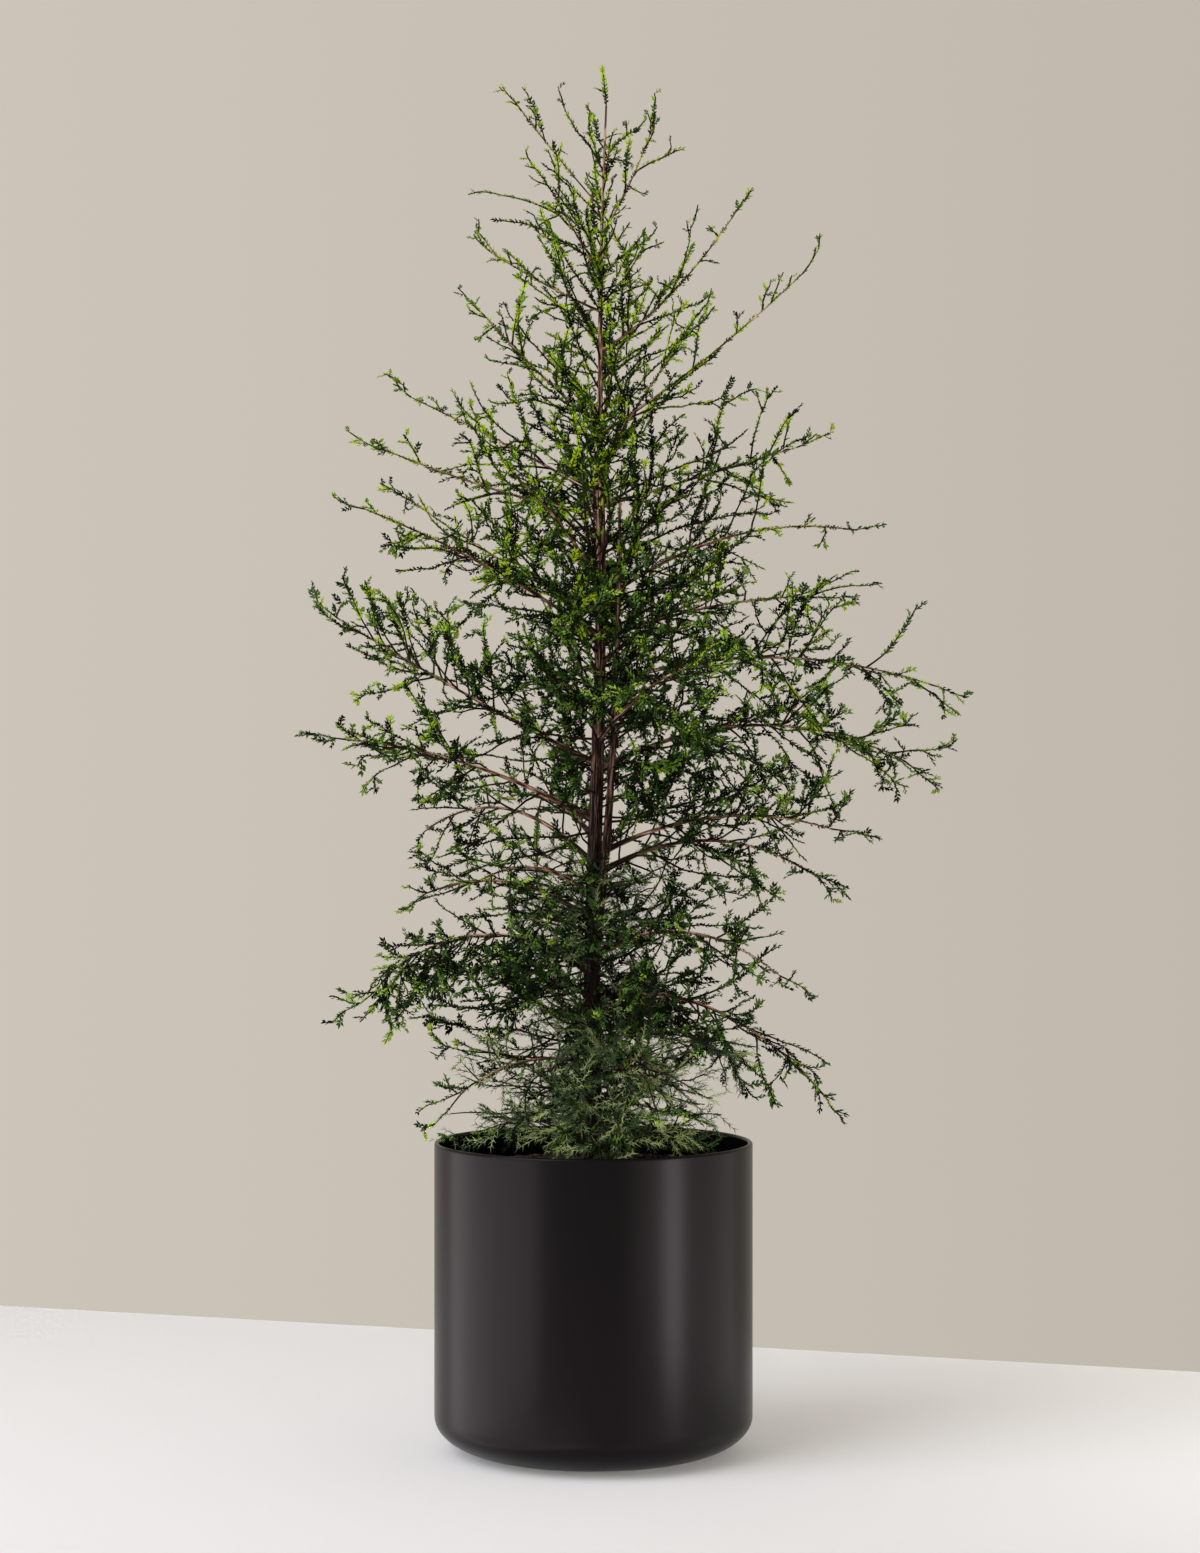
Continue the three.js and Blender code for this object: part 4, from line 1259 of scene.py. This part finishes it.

# %% [markdown]
# ## Thinning the crown
#
# The crown of the photograph is close round the trunk and ends in loose wisps, with sky between the twigs.
# How thick it is can be told by its layers: with one layer of foliage a third of the sky still shows, and
# with three a twentieth. The table gives the layers in the middle of the crown, for a few heights, and how
# far left and right they thin to a third. The rule grew more twigs than that, so every square of the side
# view, and then of the front view, keeps only as many as its place asks for, drawn by lot.
#
# A second table lists openings and clumps of the front view, and by how many times each changes the
# layers. It was set in rounds, against a comparison of how much of the background the foliage covers in
# the photograph and here. It acts through the crown's whole depth.

# %% How thick the crown is
# height, layers in the middle, how far to the left and to the right they are a third of that
CROWN_LAYERS = [
    (400, 5.0, 92, 88),
    (500, 5.0, 118, 128),
    (590, 4.5, 195, 115),
    (680, 2.4, 128, 120),
    (765, 1.6, 155, 180),
    (850, 2.8, 180, 260),
    (940, 3.1, 160, 270),
    (1020, 2.6, 155, 225),
    (1110, 2.6, 150, 128),
    (1200, 1.85, 132, 135),
    (1280, 1.85, 112, 125),
    (1370, 1.6, 78, 92),
    (1450, 1.2, 90, 95),
    (1540, 0.86, 70, 65),
    (1625, 0.27, 50, 50),
    (1720, 0.03, 60, 50),
]
LEFT_REACH = 2  # the column of the table, counted from nought
RIGHT_REACH = 3
LAYER_FADE = 1.6
SQUARE = 50
SIDE_FULLNESS = 1.5
FRONT_FULLNESS = 1.15
COVER_PER_LENGTH = 3.5  # square millimetres that a spray covers, for each millimetre of its length
# Where the trunk shows in the front view: across, up, half width and half height, in millimetres
BARE_TRUNK = [(8, 835, 26, 74), (-4, 585, 12, 36), (5, 1170, 24, 30), (10, 992, 15, 18), (8, 1375, 12, 58)]
# Openings and clumps in the front view: across, up, half width and half height, and times the layers
UNEVEN = [
    (-83, 850, 45, 50, 0.05),
    (-83, 764, 45, 45, 0.6),
    (3, 764, 45, 45, 0.36),
    (-83, 506, 40, 45, 0.18),
    (89, 1021, 45, 45, 0.6),
    (260, 1107, 50, 45, 0.08),
    (346, 1021, 50, 50, 0.3),
    (432, 936, 50, 50, 0.25),
    (-341, 850, 50, 50, 0.2),
    (-255, 1107, 50, 50, 3.6),
    (-255, 1021, 45, 40, 0.1),
    (-255, 936, 45, 45, 1.7),
    (-169, 1015, 45, 50, 1.8),
    (89, 850, 45, 45, 1.8),
    (260, 850, 50, 50, 2.4),
    (174, 1365, 45, 45, 3.0),
    (260, 1451, 45, 45, 2.5),
    (-255, 1193, 50, 50, 0.02),
    (-255, 1279, 45, 45, 0.4),
    (-83, 1021, 45, 45, 1.6),
    (-169, 1193, 45, 45, 0.75),
    (-169, 936, 45, 40, 0.6),
    (346, 936, 43, 40, 0.85),
    (-169, 592, 45, 45, 1.6),
    (174, 592, 45, 45, 0.75),
    (89, 420, 45, 45, 0.3),
    (-169, 1451, 45, 45, 0.5),
    (174, 1107, 45, 45, 1.5),
    (-255, 592, 45, 45, 0.5),
    (260, 592, 45, 45, 0.4),
    (-255, 506, 45, 45, 3.0),
    (260, 506, 45, 45, 0.63),
    (-169, 1279, 45, 45, 1.5),
    (-169, 678, 45, 45, 0.56),
    (-169, 506, 45, 45, 0.35),
    (174, 850, 45, 45, 1.6),
    (260, 764, 45, 45, 0.5),
    (-255, 678, 45, 45, 0.35),
    (-169, 420, 45, 45, 0.1),
    (174, 506, 45, 45, 1.4),
    (174, 420, 45, 45, 0.6),
    (174, 1451, 45, 45, 0.05),
    (89, 1623, 45, 45, 0.5),
    (174, 1279, 45, 45, 0.6),
    (89, 1365, 45, 45, 0.45),
    (-83, 1365, 45, 45, 0.8),
    (89, 1279, 45, 45, 4.0),
]


# %% Two views of the crown
def seen_from_side(point):
    return point[1], point[2]


def seen_from_front(point):
    """Where a point shows in the front view: across and up, in millimetres, at the trunk's distance."""
    eye = np.array(camera.location) / MM
    nearer = -eye[1] / (point[1] - eye[1])
    return eye[0] + (point[0] - eye[0]) * nearer, eye[2] + (point[2] - eye[2]) * nearer


def layers_wanted(across, up, sides):
    """Layers of foliage at a place of a view. sides are the table's columns for its left and its right."""
    heights, middle = [row[0] for row in CROWN_LAYERS], [row[1] for row in CROWN_LAYERS]
    third = sum(np.interp(up, heights, [row[side] for row in CROWN_LAYERS]) for side in sides) / len(sides)
    return float(np.interp(up, heights, middle) * math.exp(-((abs(across) / third) ** LAYER_FADE)))


def unevenness(across, up):
    """What the openings and clumps make of a place in the front view."""
    times = [t for x, z, w, h, t in UNEVEN if abs(across - x) < w and abs(up - z) < h]
    return math.prod(times)


def wanted_from_side(across, up):
    """Towards and away from the viewer, the crown is taken to thin as it does to its left and right."""
    return SIDE_FULLNESS * layers_wanted(across, up, (LEFT_REACH, RIGHT_REACH))


def wanted_from_front(across, up):
    side = LEFT_REACH if across < 0 else RIGHT_REACH
    return FRONT_FULLNESS * unevenness(across, up) * layers_wanted(across, up, (side,))


# %% Which twigs stay
def cover(twig):
    """How much of a view a twig covers with its sprays, in square millimetres."""
    return COVER_PER_LENGTH * sum(spray[3] for spray in twig["sprays"])


def thinned(candidates, view, wanted_at, lots):
    """Twigs that stay when each square of a view keeps the layers that its middle asks for."""
    middles = [twig["line"][0][len(twig["line"][0]) // 2] for twig in candidates]
    squares = [tuple(math.floor(place / SQUARE) for place in view(middle)) for middle in middles]
    covered = {}
    for twig, square in zip(candidates, squares):
        covered[square] = covered.get(square, 0) + cover(twig)
    kept = []
    for twig, square in zip(candidates, squares):
        wanted = wanted_at(*(SQUARE * (n + 0.5) for n in square))
        share = wanted * SQUARE**2 / covered[square]
        if twig["stays"] or lots.random() < share:
            kept.append(twig)
    return kept


def hides_trunk(twig):
    """Whether a twig in front of the trunk hides one of its bare places."""
    places = [seen_from_front(point) for point in twig["line"][0] if point[1] < 0]
    return any(
        ((across - x) / w) ** 2 + ((up - z) / h) ** 2 < 1
        for across, up in places
        for x, z, w, h in BARE_TRUNK
    )


lots = random.Random(5)
kept_twigs = [twig for twig in twigs if not hides_trunk(twig)]
kept_twigs = thinned(kept_twigs, seen_from_side, wanted_from_side, lots)
kept_twigs = thinned(kept_twigs, seen_from_front, wanted_from_front, lots)
used_stalks = sorted({twig["stalk"] for twig in kept_twigs if twig["stalk"] is not None})
kept_stalks = [stalks[index] for index in used_stalks]
brown_twigs = [stalk["line"] for stalk in kept_stalks]
green_twigs = [twig["line"] for twig in kept_twigs]
sprays = [spray for twig in [*kept_twigs, *kept_stalks, *limb_ends] for spray in twig["sprays"]]
print("kept:", len(brown_twigs), "stalks,", len(green_twigs), "twigs,", len(sprays), "sprays")

# %% Sweeping the twigs
foliage_nodes = sorted(name for name in frame["nodes"] if name.endswith("_foliage"))
brown = tubes_along("brown_twigs", brown_twigs, twig_bark, sides=4)
hand_over(brown, foliage_nodes)
green = tubes_along("green_twigs", green_twigs, green_twig, sides=3)
hand_over(green, foliage_nodes)

# %% [markdown]
# ## Sprays of leaves
#
# A spray of scale leaves is a short green shoot, 11 to 20 mm long low down and little more than half that
# near the top, with pointed lobes that lean off it like the tines of an antler. A juvenile spray is longer
# and bears needles, in pairs that cross. Both are drawn once in a few variants, of a few dozen faces each,
# because thousands are set out. A lobe is a kite folded along its middle and closed behind, a needle is a
# pointed wedge with its root inside its shoot, and a shoot is a slim double pyramid. The shoots of scale
# sprays that stand off their twig are pieces of their own, in the green of the twigs. The leaves are larger
# than life, so that some 21,600 sprays clothe the crown.

# %% Shapes of leaves
def shoot(length, radius):
    """A slim double pyramid along Z."""
    turns = [2 * math.pi * i / 3 for i in range(3)]
    middle = [(radius * math.cos(t), radius * math.sin(t), 0.4 * length) for t in turns]
    points = [(0, 0, 0), *middle, (0, 0, length)]
    return points, [(0, 2, 1), (0, 3, 2), (0, 1, 3), (1, 2, 4), (2, 3, 4), (3, 1, 4)]


def wedge(root, way, length, width, thickness, facing):
    """A pointed wedge from a root, widest there, with a ridge towards facing."""
    way, facing = unit(np.array(way, float)), np.array(facing, float)
    across = unit(np.cross(facing, way))
    root = np.array(root, float)
    points = [root + across * width, root - across * width, root + facing * thickness, root + way * length]
    return [tuple(p) for p in points], [(0, 2, 1), (0, 1, 3), (1, 2, 3), (2, 0, 3)]


def joined_shape(name, parts):
    """One shape from several closed parts, each (points, faces)."""
    points, faces = [], []
    for part_points, part_faces in parts:
        faces += [tuple(len(points) + i for i in face) for face in part_faces]
        points += part_points
    return mesh_object(name, [np.array(p) * METRE for p in points], faces)


def tuft(root, way, length, width, facing):
    """A kite folded along its middle and closed behind: a lobe of overlapping scale leaves."""
    way, facing = unit(np.array(way, float)), np.array(facing, float)
    across = unit(np.cross(facing, way))
    root = np.array(root, float)
    middle = root + way * length * 0.42 + facing * width * 0.7
    points = [root, middle + across * width, root + way * length, middle - across * width]
    return [tuple(p) for p in points], [(0, 1, 3), (1, 2, 3), (0, 2, 1), (0, 3, 2)]


def scale_spray(seed):
    """Six short lobes that lean off a shoot one unit long, left and right by turns, and one at its tip."""
    dice = random.Random(seed)
    parts = []
    for i in range(6):
        place = 0.06 + 0.14 * i + dice.uniform(-0.05, 0.05)
        side = 1 if i % 2 else -1
        way = (side * dice.uniform(0.5, 1.0), dice.uniform(-0.7, 0.7), 0.9)
        facing = (0, 1 if dice.random() < 0.5 else -1, 0)
        parts.append(tuft((0, 0, place), way, dice.uniform(0.34, 0.56), 0.105, facing))
    parts.append(tuft((0, 0, 0.74), (dice.uniform(-0.2, 0.2), 0, 1), 0.5, 0.11, (0, 1, 0)))
    return joined_shape(f"scale_spray_{seed}", parts)


def needle_spray(seed):
    """A juvenile spray, one unit long until it is sized, with needles in crossing pairs."""
    dice = random.Random(seed)
    parts = [shoot(1.0, 0.022)]
    for i in range(12):
        place = 0.06 + 0.075 * i
        turn = math.pi * i + (0.5 * math.pi if (i // 2) % 2 else 0) + dice.uniform(-0.3, 0.3)
        way = (math.cos(turn), 0.6 * math.sin(turn), dice.uniform(0.7, 1.1))
        facing = unit(np.array([math.sin(turn), math.cos(turn), 0.6]))
        parts.append(wedge((0, 0, place), way, dice.uniform(0.24, 0.32), 0.022, 0.018, facing))
    return joined_shape(f"needle_spray_{seed}", parts)


twiglet_shapes = shapes_on_loan("twiglets", [joined_shape("twiglet", [shoot(0.95, 0.055)])])
scale_shapes = shapes_on_loan("scale_sprays", [scale_spray(seed) for seed in range(6)])
needle_shapes = shapes_on_loan("needle_sprays", [needle_spray(seed) for seed in range(4)])

# %% The tree that sets out sprays
set_sprays, sprays_in = new_tree(
    "sprays_on_twigs", {"Sprays": "Collection", "Kinds": "Int", "Seed": "Int", "Finish": "Material"}
)
way_in = add_node(
    set_sprays, "GeometryNodeInputNamedAttribute", {"data_type": "FLOAT_VECTOR"}, {"Name": "way"}
).outputs[0]
facing_in = add_node(
    set_sprays, "GeometryNodeInputNamedAttribute", {"data_type": "FLOAT_VECTOR"}, {"Name": "facing"}
).outputs[0]
size_in = add_node(set_sprays, "GeometryNodeInputNamedAttribute", inputs={"Name": "size"}).outputs[0]
on_twig = add_node(set_sprays, "FunctionNodeAlignRotationToVector", {"axis": "Z"}, {"Vector": way_in})
flat_way = add_node(
    set_sprays,
    "FunctionNodeAlignRotationToVector",
    {"axis": "Y", "pivot_axis": "Z"},
    {"Rotation": on_twig.outputs[0], "Vector": facing_in},
)
shapes_in = add_node(
    set_sprays,
    "GeometryNodeCollectionInfo",
    inputs={"Collection": sprays_in["Sprays"], "Separate Children": True, "Reset Children": True},
)
kind_in = add_node(
    set_sprays,
    "FunctionNodeRandomValue",
    {"data_type": "INT"},
    {4: 0, 5: sprays_in["Kinds"], "Seed": sprays_in["Seed"]},
)
sprays_out = add_node(
    set_sprays,
    "GeometryNodeInstanceOnPoints",
    inputs={
        "Points": sprays_in["Geometry"],
        "Instance": shapes_in.outputs[0],
        "Pick Instance": True,
        "Instance Index": kind_in.outputs[2],
        "Rotation": flat_way.outputs[0],
        "Scale": size_in,
    },
)
end_tree(set_sprays, sprays_out.outputs["Instances"], sprays_in["Finish"])


# %% [markdown]
# ## Dealing out the colours
#
# Growth is brightest at the tips. Besides that, the greens are painted light and painted shade: brighter at
# the top and on the outside of the crown, where the light falls, and darker inside, low down and on the
# right, away from it, but bright and dark sprays lie side by side everywhere. So each spray gets a number
# that is mostly chance, and to which its nearness to the tip of its limb, how far out and how high it
# stands and the tone of its twig add. That number picks one of five plain greens. Most sprays near the
# planter's mouth, and close to the trunk low down, are juvenile and bear needles. They are larger, so fewer
# of them are set out.

# %% The tint of a spray
# Most sprays below this height and within this distance are juvenile, by this share
JUVENILE = [(520, 190, 0.8), (760, 90, 0.7)]
# What makes a spray brighter, besides chance: its age, and painted light and shade by where it stands
OUTWARD_WEIGHT = 0.16
UPWARD_WEIGHT = 0.18
AGE_WEIGHT = 0.2
BASE_SHADE = 0.045
FOOT_BELOW = 640
FOOT_SHADE = 0.09
INSIDE_BELOW = 980
INSIDE_WITHIN = 220
INSIDE_SHADE = 0.07
RIGHT_OF = 60
RIGHT_SHADE = 0.03  # the light comes from the left
TOP_HEIGHTS = [1250, 1500]
TOP_BONUSES = [0, 0.14]
TINT_FLOORS = {"fresh": 1.02, "light": 0.82, "green": 0.60, "deep": 0.38}
COOL_BELOW = 1080
COOL_SPREAD = 2000  # how many millimetres a tone of one shifts that limit


def is_juvenile(root, chance):
    distance = math.hypot(root[0], root[1])
    return any(root[2] < top and distance < reach and chance < share for top, reach, share in JUVENILE)


def brightness_of(root, age, tone, chance):
    distance = math.hypot(root[0], root[1])
    outward = distance / float(np.interp(root[2], CROWN_HEIGHTS, CROWN_REACHES))
    upward = (root[2] - 450) / 1250
    # Painted light: a spray further out and higher up is brighter
    placed = OUTWARD_WEIGHT * outward + UPWARD_WEIGHT * upward
    brightness = placed + AGE_WEIGHT * age + tone + chance - BASE_SHADE
    # Painted shade at the foot, inside the crown and on the right, and painted light at the top
    if root[2] < FOOT_BELOW:
        brightness -= FOOT_SHADE
    elif root[2] < INSIDE_BELOW and distance < INSIDE_WITHIN:
        brightness -= INSIDE_SHADE
    brightness += float(np.interp(root[2], TOP_HEIGHTS, TOP_BONUSES))
    return brightness - RIGHT_SHADE if root[0] > RIGHT_OF else brightness


def tint_of(root, age, tone, chance):
    brightness = brightness_of(root, age, tone, chance)
    cool = root[2] + COOL_SPREAD * tone < COOL_BELOW
    for name, least in TINT_FLOORS.items():
        if brightness > least:
            return "cool_" + name if cool and "cool_" + name in COOL_TINTS else name
    return "shaded"


# %% Sorting the sprays
NEEDLES_SET_OUT = 0.55
NEEDLE_SPRAY_LENGTH = (24, 34)
LIGHT_TONE = 0.02


dice = random.Random(11)
by_tint = {name: [] for name in (*LEAF_TINTS, *NEEDLE_TINTS, *COOL_TINTS)}
for root, way, facing, size, age, tone, stands_off in sprays:
    chance = dice.random()
    if is_juvenile(root, chance):
        if dice.random() < NEEDLES_SET_OUT:
            name = "needle_light" if tone > LIGHT_TONE else "needle_deep"
            by_tint[name].append((root, way, facing, dice.uniform(*NEEDLE_SPRAY_LENGTH), False))
    else:
        name = tint_of(root, age, tone, dice.random())
        by_tint[name].append((root, way, facing, size, stands_off))
print("sprays set out:", {name: len(rows) for name, rows in by_tint.items()})


# %% Setting out the sprays
def points_object(name, rows):
    """A mesh of loose points that carry each spray's direction, facing and size."""
    mesh = bpy.data.meshes.new(name)
    mesh.from_pydata([tuple(row[0] * MM) for row in rows], [], [])
    for place, attribute in ((1, "way"), (2, "facing")):
        values = np.array([row[place] for row in rows], np.float32).ravel()
        mesh.attributes.new(attribute, "FLOAT_VECTOR", "POINT").data.foreach_set("vector", values)
    sizes = np.array([row[3] * MM for row in rows], np.float32)
    mesh.attributes.new("size", "FLOAT", "POINT").data.foreach_set("value", sizes)
    made = bpy.data.objects.new(name, mesh)
    bpy.context.scene.collection.objects.link(made)
    return made


LARGEST_PIECE = 190000  # triangles


def set_out_pieces(name, rows, shapes, seed, material):
    """Pieces that hold the rows' sprays, from the lowest to the highest, none of them too large."""
    each = max(triangles(shape) for shape in shapes.objects)
    count = math.ceil(len(rows) * each / LARGEST_PIECE)
    rows = sorted(rows, key=lambda row: row[0][2])
    values = {"Sprays": shapes, "Kinds": len(shapes.objects) - 1, "Seed": seed, "Finish": material}
    made = []
    for part in range(count):
        part_rows = rows[len(rows) * part // count : len(rows) * (part + 1) // count]
        piece_name = f"{name}_{part + 1}"
        points = points_object(piece_name + "_points", part_rows)
        made.append(grow(piece_name, points, set_sprays, values))
        hand_over(made[-1], foliage_nodes)
    return made


leaf_pieces = []
for seed, (name, rows) in enumerate(by_tint.items()):
    shapes = needle_shapes if name in NEEDLE_TINTS else scale_shapes
    leaf_pieces += set_out_pieces(name + "_sprays", rows, shapes, seed, LEAF_FINISHES[name])
# A spray that stands off its twig has a green stem of its own. The others lie along a twig.
standing_off = [row for name in (*LEAF_TINTS, *COOL_TINTS) for row in by_tint[name] if row[4]]
leaf_pieces += set_out_pieces("twiglets", standing_off, twiglet_shapes, 0, green_twig)
total = sum(triangles(piece) for piece in leaf_pieces)
print("leaves:", total, "triangles")

# %% [markdown]
# ## The studio
#
# The photograph has a pale floor that ends at a plain greige wall, lit by a large soft light from the
# left. The wall is the world's own colour, so that the plant can be looked at from every side, and the
# floor ends along the line where the wall begins.

# %% Floor
FLOOR_LEVEL = -0.5
FLOOR_CORNERS = [(-6000, -9000), (6000, -9000), (6000, -1139), (-6000, 2806)]

floor_finish, _, _ = finish("pale_painted_floor", "#dcdcdc", 1.0, Specular_IOR_Level=0.0)
floor_points = [(x, y, FLOOR_LEVEL) for x, y in FLOOR_CORNERS]
floor = mesh_object("floor", floor_points, [(0, 1, 2, 3)], floor_finish)

# %% Wall
world = bpy.data.worlds.new("greige_wall")
bpy.context.scene.world = world
world.use_nodes = True
backdrop = world.node_tree
# Painted light: the plain wall is painted lighter to the left, where the key light stands, and darker to
# the right
direction = add_node(backdrop, "ShaderNodeTexCoord").outputs["Generated"]
to_the_right = add_node(backdrop, "ShaderNodeSeparateXYZ", inputs={"Vector": direction}).outputs["X"]
falloff = add_node(
    backdrop, "ShaderNodeMapRange", inputs={"Value": to_the_right, "From Min": -0.2, "From Max": 0.2}
)
painted_light_ramp_on_wall = add_node(backdrop, "ShaderNodeValToRGB", inputs={"Fac": falloff.outputs["Result"]})
wall_with_painted_light = set_stops(painted_light_ramp_on_wall, [(0.0, "#cdc5ba"), (1.0, "#c0b8ac")])
backdrop.links.new(wall_with_painted_light, backdrop.nodes["Background"].inputs["Color"])

# %% [markdown]
# Besides the key light there are two kinds of helpers. Panels close to the planter are seen in glossy
# reflections only, which means almost only in the planter: a window on either side, a strip and its soft
# edge at the right, and two cards on the floor. They make the bands that the photograph's planter shows.
# Two weak fills, a low one in front and one at the right, lift the shade and aren't seen or reflected.

# %% Lights
PANEL_COLOUR = "#fff1f4"
FILL_COLOUR = "#fffcfa"


def softbox(name, place, target, size, watts, colour):
    """A rectangular light at a place, turned to its target. Both are in metres."""
    lamp = bpy.data.lights.new(name, "AREA")
    lamp.shape = "RECTANGLE"
    lamp.size, lamp.size_y = size
    lamp.energy = watts
    lamp.color = linear(colour)[:3]
    box = bpy.data.objects.new(name, lamp)
    bpy.context.scene.collection.objects.link(box)
    box.location = place
    way = np.array(target) - np.array(place)
    box.rotation_euler = (
        math.atan2(math.hypot(way[0], way[1]), -way[2]),
        0,
        math.atan2(way[1], way[0]) - math.pi / 2,
    )
    return box


softbox("key_from_left", (-5.0, -3.6, 5.0), (0, 0, 0.7), (6.0, 6.0), 490, "#eef2ff")
# name, place, target, size, watts
PANELS = [
    ("window_at_left", (-0.37, -0.265, 0.2), (0, -0.265, 0.2), (0.59, 0.4), 1.85),
    ("strip_at_right", (0.62, -0.49, 0.21), (0, -0.1, 0.21), (0.17, 0.42), 2.3),
    ("soft_edge_at_right", (0.62, -0.82, 0.21), (0, -0.3, 0.21), (0.4, 0.42), 0.75),
    ("window_at_right", (0.62, -0.1, 0.21), (0, -0.1, 0.21), (0.55, 0.42), 0.85),
    ("card_at_left", (-0.245, -0.245, -0.0003), (-0.246, -0.246, 1), (0.5, 0.26), 0.5),
    ("card_at_right", (0.245, -0.245, -0.0003), (0.246, -0.246, 1), (0.36, 0.26), 0.13),
]
for panel_row in PANELS:
    panel = softbox(*panel_row, PANEL_COLOUR)
    panel.visible_diffuse = False
    panel.visible_camera = False
# The same, and the degrees within which the light spreads
FILLS = [
    ("low_fill_in_front", (0, -3.4, 0.55), (0, 0.6, 0), (3.4, 0.2), 8.5, 14),
    ("floor_fill_at_right", (1.7, -2.0, 1.6), (1.25, 0.25, 0), (1.0, 1.0), 2.5, 40),
]
for *fill_row, spread in FILLS:
    fill = softbox(*fill_row, FILL_COLOUR)
    fill.data.spread = math.radians(spread)
    fill.visible_camera = False
    fill.visible_glossy = False
bpy.context.scene.view_settings.view_transform = "Standard"
print("lights:", 1 + len(PANELS) + len(FILLS))
